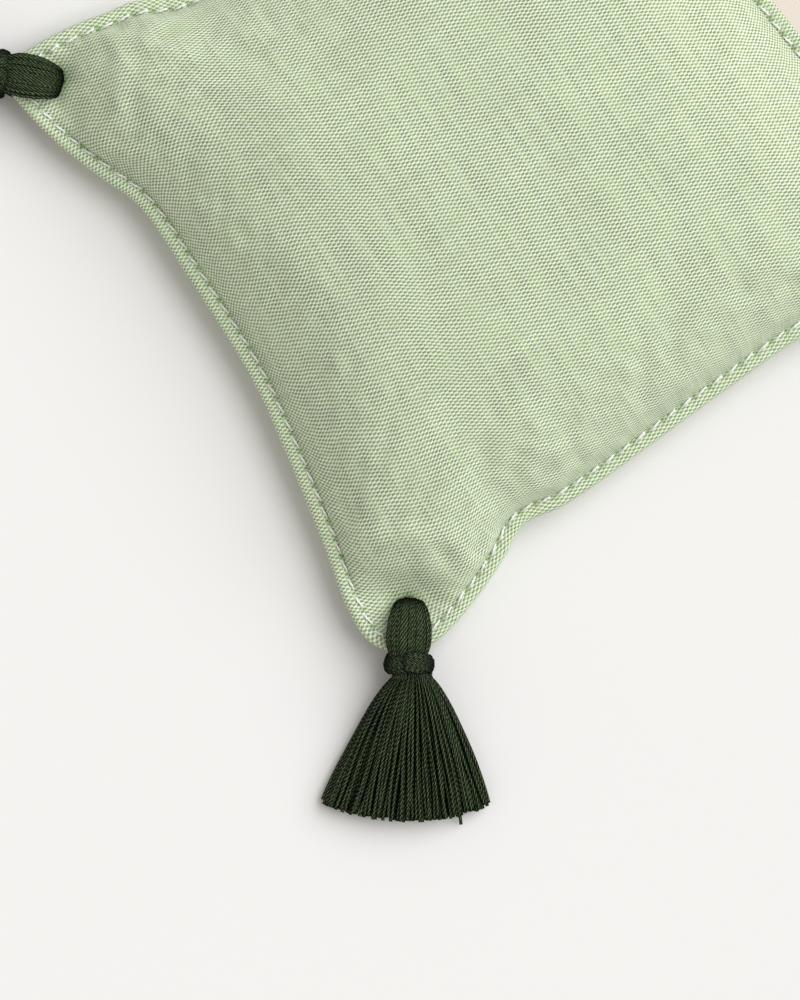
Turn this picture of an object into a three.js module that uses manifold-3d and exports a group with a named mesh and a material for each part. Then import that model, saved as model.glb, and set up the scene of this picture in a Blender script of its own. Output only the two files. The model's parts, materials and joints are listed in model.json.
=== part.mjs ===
// Lavender sachet: a plump square cotton cushion with topstitched edges, a bare label and corner tassels.
// Millimetres, +Z up. The origin is under the middle of the cushion, on the surface that it lies on.
import * as THREE from "three";
import { mergeVertices } from "three/addons/utils/BufferGeometryUtils.js";
import Module from "manifold-3d";

const wasm = await Module();
wasm.setup();

// Clearances
const GAP = 0.3;
const THREAD_GAP = 0.15;
const FILL_GAP = 0.5;
const LABEL_GAP = 0.2;
const HOLE_GAP = 0.6;
const LEG_GAP = 0.15;

// Cushion, filled
const CORNER_SPAN = 97;
const DRAW_IN = 4.9;
const TOP_HEIGHT = 19.5;
const SIDE_SEAM_HEIGHT = 5;
const EAR_MARGIN = 1.1;
const EAR_RISE = 22;
const CLOTH = 0.4;
const SEAM_SETBACK = 2.1;
const SEAM_TO_FILL = 0.4;
const BASE_SHARE = 0.72;
const CROWN_POWER = 2.2;
const SIDE_ROUNDNESS = 0.5;
const EAR_ROUNDNESS = 1;

// Flanks of the ears in plan: distance from the tip along the side, and the share of DRAW_IN reached there
const PINCHED = [[4, -0.02], [11, 0.2], [19.5, 0.74], [25, 1.13], [38, 1.14]];
const EASED = [[4, -0.07], [11, 0.16], [19.5, 0.7], [26, 0.88], [38, 0.87]];
const LEANING = [[3.5, -0.5], [9, -0.48], [19, 0.02], [32, 0.6], [43, 0.99]];
const SLACK = [[3.5, -0.5], [9, -0.48], [19, -0.08], [30, 0.25], [40, 0.45]];
const KINKED = [[5, -0.34], [13, 0], [19.5, 0.5], [24.5, 0.97], [31, 0.77]];
const BLUNT = [[5, -0.28], [13, 0], [19.5, 0.35], [27, 0.58], [40, 0.6]];
const WIDE = [[4, -0.3], [12.5, -0.15], [17, 0.08], [21, 0.25], [28, 0.9]];

// Corners, counterclockwise seen from above; lay is how far the tassel lies off the diagonal, in degrees
const CORNERS = [
  { name: "front_left", x: -1, y: -1, before: LEANING, after: KINKED, lay: 8 },
  { name: "front_right", x: 1, y: -1, before: EASED, after: SLACK, lay: 0 },
  { name: "back_right", x: 1, y: 1, before: BLUNT, after: EASED, lay: 8 },
  { name: "back_left", x: -1, y: 1, before: WIDE, after: PINCHED, lay: 0 },
];

// Sewing thread
const THREAD_RADIUS = 0.15;

// Label, folded tape caught in the right edge
const LABEL_LENGTH = 28;
const LABEL_REACH = 12;
const LABEL_TAIL = 1.3;
const LABEL_THICKNESS = 0.6;
const LABEL_ALONG = -4;

// Tassel
const HOLE_SETBACK = 6.8;
const STRAND_RADIUS = 1.5;
const LEG_HALF_WIDTH = 2.9;
const LEG_HALF_THICKNESS = 0.95;
const NECK_RADIUS = 2.1;
const NECK_RUN = 0.65;
const TIE_CORD = 0.9;
const TIE_SPACING = 0.48;
const TIE_TURNS = 1.5;
const TIE_LIFT = 1.3;
const SKIRT_LENGTH = 20;
const SKIRT_ROLL = 2.3;
const SKIRT_TOP_HALF_WIDTH = 2.7;
const SKIRT_HEM_HALF_THICKNESS = 2;
const FAN_ANGLE = 26.5;
const RIDGES = 12;
const RIDGE_DEPTH = 0.06;

// Facets
const FACET = 5.6;
const RING_SHARES = [0.3, 0.56, 0.76, 0.9, 0.97];
const THREAD_SIDES = 5;
const FOLD_STEPS = 6;
const HOLE_SIDES = 24;
const LOOP_SIDES = 10;
const BEND_STEPS = 8;
const TIE_STEPS_PER_TURN = 24;
const TIE_SIDES = 6;
const SIDES_PER_RIDGE = 4;
const ROLL_STEPS = 3;
const FAN_STEPS = 5;

const CHAMBRAY = new THREE.MeshStandardMaterial({ color: 0xc3d0b2, roughness: 0.92, metalness: 0 });
const STITCHING = new THREE.MeshStandardMaterial({ color: 0xe6ecdc, roughness: 0.8, metalness: 0 });
const FLOWERS = new THREE.MeshStandardMaterial({ color: 0x6f6a8c, roughness: 1, metalness: 0 });
const TAPE = new THREE.MeshStandardMaterial({ color: 0xf8ebe0, roughness: 0.85, metalness: 0 });
const YARN = new THREE.MeshStandardMaterial({ color: 0x262e20, roughness: 0.9, metalness: 0 });

const sachet = new THREE.Group();
const halfSpan = CORNER_SPAN / 2;
const flange = GAP / 2 + 2 * CLOTH;
const tieRadius = NECK_RADIUS + GAP + TIE_CORD / 2;
const earHeight = tieRadius + TIE_CORD / 2 + TIE_LIFT;
const earFlat = HOLE_SETBACK + LEG_HALF_WIDTH + EAR_MARGIN;

function addPiece(parent, name, geometry, material) {
  const mesh = new THREE.Mesh(geometry, material);
  mesh.name = name;
  parent.add(mesh);
}

// Closed skin through rings of equal count, capped by fans to the two end points, or joined end to end
function skin(rings, start, end) {
  const count = rings[0].length;
  const points = rings.flat();
  const triangles = [];
  const bands = start ? rings.length - 1 : rings.length;
  for (let band = 0; band < bands; band += 1) {
    const near = band * count;
    const far = ((band + 1) % rings.length) * count;
    for (let step = 0; step < count; step += 1) {
      const next = (step + 1) % count;
      triangles.push([near + step, near + next, far + next], [near + step, far + next, far + step]);
    }
  }
  if (start) {
    const last = (rings.length - 1) * count;
    points.push(start, end);
    for (let step = 0; step < count; step += 1) {
      const next = (step + 1) % count;
      triangles.push([points.length - 2, next, step], [points.length - 1, last + step, last + next]);
    }
  }
  const outward = signedVolume(points, triangles) > 0;
  const geometry = new THREE.BufferGeometry().setFromPoints(points);
  geometry.setIndex(triangles.flatMap(([a, b, c]) => (outward ? [a, b, c] : [a, c, b])));
  geometry.computeVertexNormals();
  return geometry;
}

function signedVolume(points, triangles) {
  const edge = new THREE.Vector3();
  const share = ([a, b, c]) => points[a].dot(edge.crossVectors(points[b], points[c]));
  return triangles.reduce((sum, triangle) => sum + share(triangle), 0);
}

function middle(ring) {
  const sum = ring.reduce((total, point) => total.add(point), new THREE.Vector3());
  return sum.divideScalar(ring.length);
}

function solid(geometry) {
  const bare = geometry.clone();
  bare.deleteAttribute("normal");
  bare.deleteAttribute("uv");
  const merged = mergeVertices(bare);
  const vertProperties = Float32Array.from(merged.attributes.position.array);
  const triVerts = Uint32Array.from(merged.index.array);
  return new wasm.Manifold(new wasm.Mesh({ numProp: 3, vertProperties, triVerts }));
}

function cut(geometry, tools) {
  const body = tools.reduce((rest, tool) => rest.subtract(solid(tool)), solid(geometry));
  const mesh = body.getMesh();
  const result = new THREE.BufferGeometry();
  result.setAttribute("position", new THREE.BufferAttribute(mesh.vertProperties, mesh.numProp));
  result.setIndex(new THREE.BufferAttribute(mesh.triVerts, 1));
  result.computeVertexNormals();
  return result;
}

// Plan outline: each side runs through the knots of its two ears
function sideKnots(first, last) {
  const start = new THREE.Vector2(first.x, first.y).multiplyScalar(halfSpan);
  const along = new THREE.Vector2(last.x - first.x, last.y - first.y).normalize();
  const inward = new THREE.Vector2(-along.y, along.x);
  const place = (distance, share) => start.clone()
    .addScaledVector(along, distance)
    .addScaledVector(inward, share * DRAW_IN);
  const leaving = first.after.map(([distance, share]) => place(distance, share));
  const arriving = last.before.map(([distance, share]) => place(CORNER_SPAN - distance, share));
  return [start, ...leaving, ...arriving.reverse()];
}

const knots = CORNERS.flatMap((corner, index) => sideKnots(corner, CORNERS[(index + 1) % CORNERS.length]));
const outlineCurve = new THREE.CatmullRomCurve3(
  knots.map((knot) => new THREE.Vector3(knot.x, knot.y, 0)), true, "centripetal");

function outlinePoints() {
  return knots.flatMap((knot, index) => {
    const steps = Math.max(1, Math.round(knot.distanceTo(knots[(index + 1) % knots.length]) / FACET));
    const place = (_, step) => outlineCurve.getPoint((index + step / steps) / knots.length);
    return Array.from({ length: steps }, place);
  });
}

const tips = CORNERS.map((corner) => new THREE.Vector3(corner.x * halfSpan, corner.y * halfSpan, 0));
const outline = outlinePoints().map((edge) => {
  const fromTip = Math.min(...tips.map((tip) => tip.distanceTo(edge)));
  const ear = 1 - THREE.MathUtils.smoothstep(fromTip, earFlat, earFlat + EAR_RISE);
  return { edge, ear, seamHeight: THREE.MathUtils.lerp(SIDE_SEAM_HEIGHT, earHeight, ear) };
});

// Ring at a distance in from the outline and a height above or below the seam
function flangeRing(inset, rise) {
  return outline.map(({ edge, seamHeight }) => {
    const point = edge.clone().setLength(edge.length() - inset);
    point.z = seamHeight + rise;
    return point;
  });
}

function fillReach({ edge, ear }, inset) {
  return edge.length() - THREE.MathUtils.lerp(SEAM_SETBACK + SEAM_TO_FILL, earFlat, ear) - inset;
}

// Rings of the bulging cloth from the middle out: side is 1 for the top and -1 for the underside
function bulge(side, inset, rise) {
  const pole = side > 0 ? TOP_HEIGHT - inset : inset;
  return RING_SHARES.map((share) => outline.map((sample) => {
    const spread = side > 0 ? share : Math.max(0, (share - BASE_SHARE) / (1 - BASE_SHARE));
    const roundness = THREE.MathUtils.lerp(SIDE_ROUNDNESS, EAR_ROUNDNESS, sample.ear * share * share);
    const crown = (1 - spread ** CROWN_POWER) ** roundness;
    const point = sample.edge.clone().setLength(fillReach(sample, inset) * share);
    point.z = THREE.MathUtils.lerp(sample.seamHeight + side * rise, pole, crown);
    return point;
  }));
}

function fillRim(side, inset, rise) {
  return outline.map((sample) => {
    const point = sample.edge.clone().setLength(fillReach(sample, inset));
    point.z = sample.seamHeight + side * rise;
    return point;
  });
}

function panel(side) {
  const shoulder = flangeRing(SEAM_SETBACK, side * flange);
  const outer = [...bulge(side, 0, flange), fillRim(side, 0, flange), shoulder];
  const inner = [...bulge(side, CLOTH, GAP / 2), fillRim(side, CLOTH, GAP / 2)];
  const edges = [flangeRing(0, side * flange), flangeRing(0, side * GAP / 2)];
  const lining = flangeRing(SEAM_SETBACK, side * GAP / 2);
  const poles = side > 0 ? [TOP_HEIGHT, TOP_HEIGHT - CLOTH] : [0, CLOTH];
  const [outerPole, innerPole] = poles.map((height) => new THREE.Vector3(0, 0, height));
  return skin([...outer, ...edges, lining, ...inner.reverse()], outerPole, innerPole);
}

function filling() {
  const inset = CLOTH + FILL_GAP;
  const rings = [...bulge(1, inset, 0), fillRim(1, inset, 0), ...bulge(-1, inset, 0).reverse()];
  return skin(rings, new THREE.Vector3(0, 0, TOP_HEIGHT - inset), new THREE.Vector3(0, 0, inset));
}

function seamThread(side) {
  const path = flangeRing(SEAM_SETBACK, side * (flange + THREAD_GAP + THREAD_RADIUS));
  const rings = path.map((point) => Array.from({ length: THREAD_SIDES }, (_, corner) => {
    const turn = (2 * Math.PI * corner) / THREAD_SIDES;
    const radial = point.clone().setZ(0).setLength(THREAD_RADIUS * Math.cos(turn));
    return point.clone().add(radial).setZ(point.z + THREAD_RADIUS * Math.sin(turn));
  }));
  return skin(rings);
}

// Label and the pocket that its tail takes in the edge
const labelEdge = outline.reduce((best, sample) => {
  const miss = ({ edge }) => Math.abs(edge.y - LABEL_ALONG) + (edge.x > 0 ? 0 : CORNER_SPAN);
  return miss(sample) < miss(best) ? sample : best;
});

function tapeBlock(clearance) {
  const half = LABEL_THICKNESS / 2 + clearance;
  const root = labelEdge.edge.x - LABEL_TAIL - clearance;
  const fold = labelEdge.edge.x + LABEL_REACH - half;
  const section = new THREE.Shape();
  section.moveTo(root, -half);
  section.lineTo(fold, -half);
  section.absarc(fold, 0, half, -Math.PI / 2, Math.PI / 2);
  section.lineTo(root, half);
  const length = LABEL_LENGTH + 2 * clearance;
  const sweep = { depth: length, bevelEnabled: false, curveSegments: FOLD_STEPS };
  const block = new THREE.ExtrudeGeometry(section, sweep);
  block.rotateX(Math.PI / 2);
  block.translate(0, LABEL_ALONG + length / 2, labelEdge.seamHeight);
  return block;
}

// Tassel, in its own frame: origin in the corner hole at mid thickness, +X along the tassel, +Z up
const legHeight = flange + THREAD_GAP + 2 * THREAD_RADIUS + GAP + LEG_HALF_THICKNESS;
const neckStart = HOLE_SETBACK + GAP;
const tieStart = neckStart + NECK_RUN;
const tiePitch = TIE_CORD + TIE_SPACING;
const tieEnd = tieStart + TIE_TURNS * tiePitch + TIE_CORD;
const hingeX = tieEnd + GAP + SKIRT_ROLL;
const holeRadius = STRAND_RADIUS + HOLE_GAP;

function ellipseRing(count, place) {
  return Array.from({ length: count }, (_, step) => place((2 * Math.PI * step) / count));
}

// The strands leave the neck over the corner, turn down through the hole and come back under it
function strandLoop() {
  const neckHalf = (NECK_RADIUS - LEG_GAP / 2) / 2;
  const stations = [
    { x: tieEnd, offset: NECK_RADIUS - neckHalf, width: NECK_RADIUS, thickness: neckHalf },
    { x: tieStart, offset: NECK_RADIUS - neckHalf, width: NECK_RADIUS, thickness: neckHalf },
    { x: neckStart, offset: legHeight, width: LEG_HALF_WIDTH, thickness: LEG_HALF_THICKNESS },
  ];
  const leg = (side) => stations.map(({ x, offset, width, thickness }) => ellipseRing(LOOP_SIDES, (turn) =>
    new THREE.Vector3(x, width * Math.cos(turn), side * (offset + thickness * Math.sin(turn)))));
  const bend = Array.from({ length: BEND_STEPS + 1 }, (_, step) => {
    const lean = (Math.PI * step) / BEND_STEPS;
    const inHole = Math.sin(lean) ** 2;
    const width = THREE.MathUtils.lerp(LEG_HALF_WIDTH, STRAND_RADIUS, inHole);
    const thickness = THREE.MathUtils.lerp(LEG_HALF_THICKNESS, STRAND_RADIUS, inHole);
    return ellipseRing(LOOP_SIDES, (turn) => {
      const reach = legHeight + thickness * Math.sin(turn);
      return new THREE.Vector3(
        legHeight - reach * Math.sin(lean), width * Math.cos(turn), reach * Math.cos(lean));
    });
  });
  const rings = [...leg(1), ...bend, ...leg(-1).reverse()];
  return skin(rings, middle(rings[0]), middle(rings[rings.length - 1]));
}

// One unbroken cord wound round the neck, its two ends standing off straight
function tiePath() {
  const steps = Math.round(TIE_STEPS_PER_TURN * TIE_TURNS);
  const around = Array.from({ length: steps + 1 }, (_, step) => {
    const turns = (TIE_TURNS * step) / steps;
    const angle = 2 * Math.PI * turns;
    const x = tieStart + TIE_CORD / 2 + turns * tiePitch;
    return new THREE.Vector3(x, tieRadius * Math.cos(angle), tieRadius * Math.sin(angle));
  });
  const runOn = (end, before) => end.clone().sub(before).setX(0).setLength(TIE_CORD).add(end);
  const first = runOn(around[0], around[1]);
  const last = runOn(around[steps], around[steps - 1]);
  return [first, ...around, last];
}

function tieCord(path) {
  const rings = path.map((point, index) => {
    const before = path[Math.max(0, index - 1)];
    const after = path[Math.min(path.length - 1, index + 1)];
    const tangent = after.clone().sub(before).normalize();
    const side = new THREE.Vector3(1, 0, 0).projectOnPlane(tangent).normalize();
    const across = tangent.clone().cross(side);
    return ellipseRing(TIE_SIDES, (turn) => point.clone()
      .addScaledVector(side, (TIE_CORD / 2) * Math.cos(turn))
      .addScaledVector(across, (TIE_CORD / 2) * Math.sin(turn)));
  });
  return skin(rings, path[0], path[path.length - 1]);
}

function leastGap(path) {
  const apart = Math.round(TIE_STEPS_PER_TURN / 2);
  const fromPoint = (point, index) => path.slice(index + apart).map((other) => point.distanceTo(other));
  return Math.min(...path.flatMap(fromPoint)) - TIE_CORD;
}

// Skirt: a rolled top that turns under the tie, then strands fanning from one point to an arc-shaped hem
function skirt() {
  const sides = SIDES_PER_RIDGE * RIDGES;
  const fan = THREE.MathUtils.degToRad(FAN_ANGLE);
  const apexX = tieEnd - SKIRT_TOP_HALF_WIDTH / Math.tan(fan);
  const hem = tieEnd + SKIRT_LENGTH - apexX;
  const ring = (reach, halfThickness, drop, spread) => ellipseRing(sides, (turn) => {
    const ridge = 1 - RIDGE_DEPTH * spread * (1 - Math.cos(RIDGES * turn));
    const angle = fan * Math.cos(turn);
    const height = ridge * halfThickness * Math.sin(turn) - drop;
    return new THREE.Vector3(apexX + reach * Math.cos(angle), reach * Math.sin(angle), height);
  });
  const rings = [];
  for (let step = 1; step <= ROLL_STEPS; step += 1) {
    const lean = (Math.PI / 2) * (step / ROLL_STEPS);
    const reach = hingeX - SKIRT_ROLL * Math.cos(lean) - apexX;
    rings.push(ring(reach, SKIRT_ROLL * Math.sin(lean), 0, 0));
  }
  const rollReach = hingeX - apexX;
  for (let step = 1; step <= FAN_STEPS; step += 1) {
    const share = step / FAN_STEPS;
    const sink = share * share * (earHeight - SKIRT_HEM_HALF_THICKNESS);
    const halfThickness = THREE.MathUtils.lerp(SKIRT_ROLL, SKIRT_HEM_HALF_THICKNESS, share);
    rings.push(ring(THREE.MathUtils.lerp(rollReach, hem, share), halfThickness, sink, share));
  }
  const start = new THREE.Vector3(hingeX - SKIRT_ROLL, 0, 0);
  return skin(rings, start, middle(rings[rings.length - 1]));
}

function cornerHole(corner) {
  const hole = new THREE.CylinderGeometry(holeRadius, holeRadius, 2 * (flange + CLOTH), HOLE_SIDES);
  hole.rotateX(Math.PI / 2);
  const place = holePlace(corner);
  hole.translate(place.x, place.y, place.z);
  return hole;
}

function holePlace(corner) {
  const tip = new THREE.Vector2(corner.x, corner.y).multiplyScalar(halfSpan);
  const centre = tip.setLength(tip.length() - HOLE_SETBACK);
  return new THREE.Vector3(centre.x, centre.y, earHeight);
}

const cuts = [...CORNERS.map(cornerHole), tapeBlock(LABEL_GAP)];
addPiece(sachet, "front_panel", cut(panel(1), cuts), CHAMBRAY);
addPiece(sachet, "back_panel", cut(panel(-1), cuts), CHAMBRAY);
addPiece(sachet, "lavender_filling", filling(), FLOWERS);
addPiece(sachet, "needle_thread", seamThread(1), STITCHING);
addPiece(sachet, "bobbin_thread", seamThread(-1), STITCHING);
addPiece(sachet, "edge_label", tapeBlock(0), TAPE);

const winding = tiePath();
console.log(`least gap of the tie to itself: ${leastGap(winding).toFixed(2)} mm`);
for (const corner of CORNERS) {
  const tassel = new THREE.Group();
  tassel.position.copy(holePlace(corner));
  tassel.rotation.z = Math.atan2(corner.y, corner.x) + THREE.MathUtils.degToRad(corner.lay);
  addPiece(tassel, `${corner.name}_loop`, strandLoop(), YARN);
  addPiece(tassel, `${corner.name}_tie`, tieCord(winding), YARN);
  addPiece(tassel, `${corner.name}_skirt`, skirt(), YARN);
  sachet.add(tassel);
}

export default sachet;
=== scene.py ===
"""Lavender sachet: a stuffed chambray cushion with edge stitching, a bare folded label and four tassels.

Everything is made around the sachet's CAD frame, in metres. Sizes in the tables below are in millimetres.
"""
import json
import math
from collections import namedtuple

import bmesh
import bpy
import numpy as np
from bpy.props import FloatProperty, FloatVectorProperty, IntProperty, PointerProperty
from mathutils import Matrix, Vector


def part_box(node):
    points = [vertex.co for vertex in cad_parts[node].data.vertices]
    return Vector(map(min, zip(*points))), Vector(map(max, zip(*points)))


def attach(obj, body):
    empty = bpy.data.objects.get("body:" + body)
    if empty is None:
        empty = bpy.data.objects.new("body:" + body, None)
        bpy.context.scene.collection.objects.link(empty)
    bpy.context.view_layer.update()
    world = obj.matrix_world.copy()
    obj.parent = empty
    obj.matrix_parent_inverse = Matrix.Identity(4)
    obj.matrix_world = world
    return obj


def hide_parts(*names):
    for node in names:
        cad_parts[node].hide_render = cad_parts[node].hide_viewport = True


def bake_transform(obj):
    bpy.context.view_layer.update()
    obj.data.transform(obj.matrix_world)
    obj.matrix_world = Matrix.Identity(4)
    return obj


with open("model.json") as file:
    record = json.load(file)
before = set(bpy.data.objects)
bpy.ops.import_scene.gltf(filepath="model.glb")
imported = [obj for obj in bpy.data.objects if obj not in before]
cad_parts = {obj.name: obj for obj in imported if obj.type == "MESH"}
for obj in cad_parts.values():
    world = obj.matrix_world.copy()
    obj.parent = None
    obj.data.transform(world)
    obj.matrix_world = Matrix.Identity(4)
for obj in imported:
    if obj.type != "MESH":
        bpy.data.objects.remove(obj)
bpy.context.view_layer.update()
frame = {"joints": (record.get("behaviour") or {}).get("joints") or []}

bl_info = {
    "name": "Lavender Sachet",
    "version": (1, 0, 0),
    "blender": (4, 5, 0),
    "location": "View3D > Sidebar > Sachet",
    "description": "Dresses the frame of a lavender sachet in cloth, stitches and yarn",
    "category": "Object",
}

MM = 0.001

# Plan of the cushion, in millimetres
CORNER_SPAN = 97.0
DRAW_IN = 4.9
SEAM_SETBACK = 2.1
EAR_FLAT = 10.8
EAR_RISE = 22.0
SIDE_SEAM_HEIGHT = 5.0

# Flanks of the ears: distance from the tip along the side, and the share of DRAW_IN reached there
PINCHED = ((4.0, -0.02), (11.0, 0.2), (19.5, 0.74), (25.0, 1.13), (38.0, 1.14))
EASED = ((4.0, -0.07), (11.0, 0.16), (19.5, 0.7), (26.0, 0.88), (38.0, 0.87))
LEANING = ((3.5, -0.5), (9.0, -0.48), (19.0, 0.02), (32.0, 0.6), (43.0, 0.99))
SLACK = ((3.5, -0.5), (9.0, -0.48), (19.0, -0.08), (30.0, 0.25), (40.0, 0.45))
KINKED = ((5.0, -0.34), (13.0, 0.0), (19.5, 0.5), (24.5, 0.97), (31.0, 0.77))
BLUNT = ((5.0, -0.28), (13.0, 0.0), (19.5, 0.35), (27.0, 0.58), (40.0, 0.6))
WIDE = ((4.0, -0.3), (12.5, -0.15), (17.0, 0.08), (21.0, 0.25), (28.0, 0.9))

# Corners counterclockwise from above, with the flanks before and after each
Corner = namedtuple("Corner", "name x y before after")
CORNERS = (
    Corner("front_left", -1, -1, LEANING, KINKED),
    Corner("front_right", 1, -1, EASED, SLACK),
    Corner("back_right", 1, 1, BLUNT, EASED),
    Corner("back_left", -1, 1, WIDE, PINCHED),
)
TIPS = np.array([(corner.x, corner.y) for corner in CORNERS]) * CORNER_SPAN / 2

# Section of the sewn edge: share of the way from seam to edge, and share of its half thickness
EDGE_TOP = ((0.08, 0.6), (0.2, 0.76), (0.36, 0.92), (0.56, 1.0), (0.76, 0.95), (0.9, 0.76), (0.97, 0.45),
            (1.0, 0.12))
EDGE_UNDER = ((0.96, 0.06), (0.5, 0.06), (0.0, 0.06))
EDGE_HALF = 0.95
SEAM_SHARE = 0.6

# Waves of the sewn edge: height in millimetres, turn for each millimetre of run, and turn at the start
EDGE_WAVES = ((0.05, 0.9, 0.0), (0.04, 0.37, 1.0))

# Stitch line: share of the way from seam to edge, steps along a side, and the dark green of the painted shade
# where the needle went in
STITCH_SHARE = 0.14
STITCH_CELLS = 240
NEEDLE_HOLE_SHADE = (0.10, 0.24, 0.045)

# Swell of the filled sheets, in millimetres and shares, and the sweeps that even out their yarns
TOP_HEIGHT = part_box("front_panel")[1][2] / MM
BASE_SHARE = 0.72
CROWN_POWER = 2.6
EAR_HELD = 7.0
EAR_BLEND = 10.0
EVENING_SWEEPS = 24

# Fine steps to a cloth cell, and metres in the simulation for each millimetre
FINER = 4
SIM_SCALE = 0.01

# How the cloth behaves while it is being filled
CLOTH = {
    "quality": 8,
    "mass": 0.002,
    "tension_stiffness": 40.0,
    "compression_stiffness": 40.0,
    "shear_stiffness": 4.0,
    "bending_stiffness": 0.1,
    "tension_damping": 8.0,
    "compression_damping": 8.0,
    "shear_damping": 4.0,
    "bending_damping": 1.0,
    "air_damping": 3.0,
    "vertex_group_mass": "sewn",
    "pin_stiffness": 1.0,
    "use_pressure": True,
    "vertex_group_pressure": "filled",
    "fluid_density": 0.0,
}

# Gathers beside the seam and lumps of the filling, in millimetres, with the count and sum of the lumps' waves
GATHER_DEPTH = 1.3
GATHER_MARGIN = 6.0
LUMP_MARGIN = 12.0
LUMP_WAVES = 14
LUMP_LENGTHS = (7.0, 22.0)
LUMP_SUM = 3.0
RESTING_HEIGHT = 3.0

# Cloth beside the stitches, the label and the loops, in millimetres, and the share of painted dark green
# shade round a loop's hole
SEAM_WAVE = 0.1
LABEL_PARTING = 0.34
LABEL_BESIDE = 1.5
LABEL_CURL = 0.25
DRAWN_REACH = 1.2
HOLE_SHADE_SHARE = 0.75

# Stitches: dip of their ends in millimetres, rise of the arch in dips, turn of the plies in thicknesses,
# and unevenness of turn and length
STITCH_DIP = 0.3
ARCH_RISE = 1.3
PLY_TURN = 3.2
STITCH_TURN = 0.05
STITCH_STRETCH = (0.9, 1.08)

# Ribs and picks of the label's tape, in millimetres, and the straw colour of the oldest buds
RIB_PITCH = 0.32
PICK_PITCH = 0.24
STRAW_COLOUR = (0.33, 0.3, 0.17)

# Heap of buds: thickness of the cushion where it starts and its run, in depths, and the least share kept
HEAP_START = 2.5
HEAP_RUN = 2.0
HEAP_LEAST = 0.02

# Tassel along its own axis from the hole, in millimetres
TASSEL_OFFSETS = {"back_left": (1.3, 0.5)}
TIE_MIDDLE = 8.15
TIE_END = 10.0
TIE_SHIFT = 0.6
TIE_HALF_HEIGHT = 1.35
TIE_HALF_THICKNESS = 0.72
SKIRT_ROOT = TIE_MIDDLE + 0.4
HOLE_SHIFT = 0.4
LOOP_BEND = 2.65
LOOP_REACH = 2.8
LOOP_SHIFT = 0.4
LOOP_HALF_WIDTHS = ((-0.2, 2.0), (0.4, 2.4), (1.5, 2.8), (4.0, 3.15), (5.6, 3.05), (7.0, 2.6), (11.0, 1.9))
LOOP_HALF_THICKNESS = ((0.4, 0.9), (1.9, 0.95), (3.0, 0.95), (6.0, 0.95), (7.4, 0.9), (11.0, 0.85))
LOOP_HEIGHTS = ((2.65, 2.65), (4.4, 2.6), (5.6, 2.35), (6.8, 1.8), (7.7, 1.35), (9.0, 1.15), (10.4, 1.1))

# Winding of the tie: radius, overlap, tuck and slide in millimetres, angles in degrees, the rest as shares
TIE_RADIUS = 2.75
TIE_OVERLAP = 0.5
TIE_TUCK = 0.9
TIE_SLIDE = (0.1, 0.3)
TIE_ANGLES = (78.0, 470.0)
TIE_ENDS = (0.04, 0.025)
TIE_CROSSING = (0.72, 0.2)
TIE_NARROWING = 0.4

# Yarn of the loops and ties: paleness of their strands and turns of the tie's bundle
LOOP_PALENESS = 1.2
TIE_PALENESS = 0.0
TIE_TWIST = 0.7

# Seeds of a tassel's yarn: step from one tassel to the next, and the shift of each of its pieces
SEED_STEP = 20
SEED_SHIFTS = {"loop": 0, "tie": 5, "skirt": 9}

# Skirt, as shares: arc and slant of its hem, how it opens, sinks and fans out, and its stray strands
HEM_ARC = 0.115
HEM_SLANT = 0.02
OPENING_POWER = 0.75
SINKING_POWER = 0.8
SIDES_LAID = 0.45
EVENNESS = 0.6
STRAY_ABOVE = 0.998
STRAY_REACH = 2.6

# Strands of the skirt: points on each, unevenness across and at the hem, sway in radii, and slimness
STRAND_POINTS = 48
STRAND_JITTER = 0.03
HEM_RANGE = (-1.0, 0.6)
SWAY_ASIDE = 0.9
SWAY_UP = 0.3
NECK_SLIMNESS = 0.62

# Colours of the main light and of the light from all round
KEY_TINT = (0.965, 0.975, 1.0)
SKY_TINT = (1.0, 0.965, 0.905)

Ring = namedtuple("Ring", "seam edge height run")
Tassel = namedtuple("Tassel", "name hole hinge heading")

JOINTS = {joint["name"]: joint for joint in frame["joints"]}
CUSHION = "cushion"
YARN = "dark_spun_cotton"
PLIES = 4


def length(name, millimetres, description):
    """A length property, shown in the scene's units."""
    return FloatProperty(name=name, description=description, default=millimetres * MM, min=0.0,
                         precision=5, unit="LENGTH", subtype="DISTANCE")


def colour(name, red, green, blue, description):
    """A linear colour property."""
    return FloatVectorProperty(name=name, description=description, default=(red, green, blue), size=3,
                               min=0.0, max=1.0, subtype="COLOR")


class SachetCover(bpy.types.PropertyGroup):
    """Chambray cover"""
    flat_size: length("Flat Size", 100.0, "Side of each square panel as cut and turned")
    cloth: length("Cloth", 0.35, "Thickness of the cloth")
    hole: length("Hole", 1.5, "Radius of the hole that a tassel passes through")
    cells: IntProperty(name="Cells", description="Cloth cells along a side while filling", default=48, min=16)
    slack: FloatProperty(name="Slack", description="Share by which the cloth is larger than its filling",
                         default=0.008)
    give: length("Give", 1.0, "How far the filling may push the cloth off its even shape")
    frames: IntProperty(name="Frames", description="Steps that the filling takes", default=24, min=5)
    pressure: FloatProperty(name="Pressure", description="Push of the filling on the cloth", default=4.0)
    pucker: length("Pucker", 0.12, "Height of the gathers between stitches")
    lumps: length("Lumps", 0.15, "Height of the lumps that the filling presses into the cloth")
    weft_pitch: length("Weft Pitch", 0.281, "Spacing of the white yarns")
    warp_pitch: length("Warp Pitch", 0.55, "Spacing of the green yarns")
    white: colour("White Yarn", 0.885, 0.98, 0.785, "Colour of the undyed yarn")
    green: colour("Green Yarn", 0.30, 0.40, 0.188, "Colour of the dyed yarn")
    seed: IntProperty(name="Seed", description="Seed of the lumps", default=7)


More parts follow.
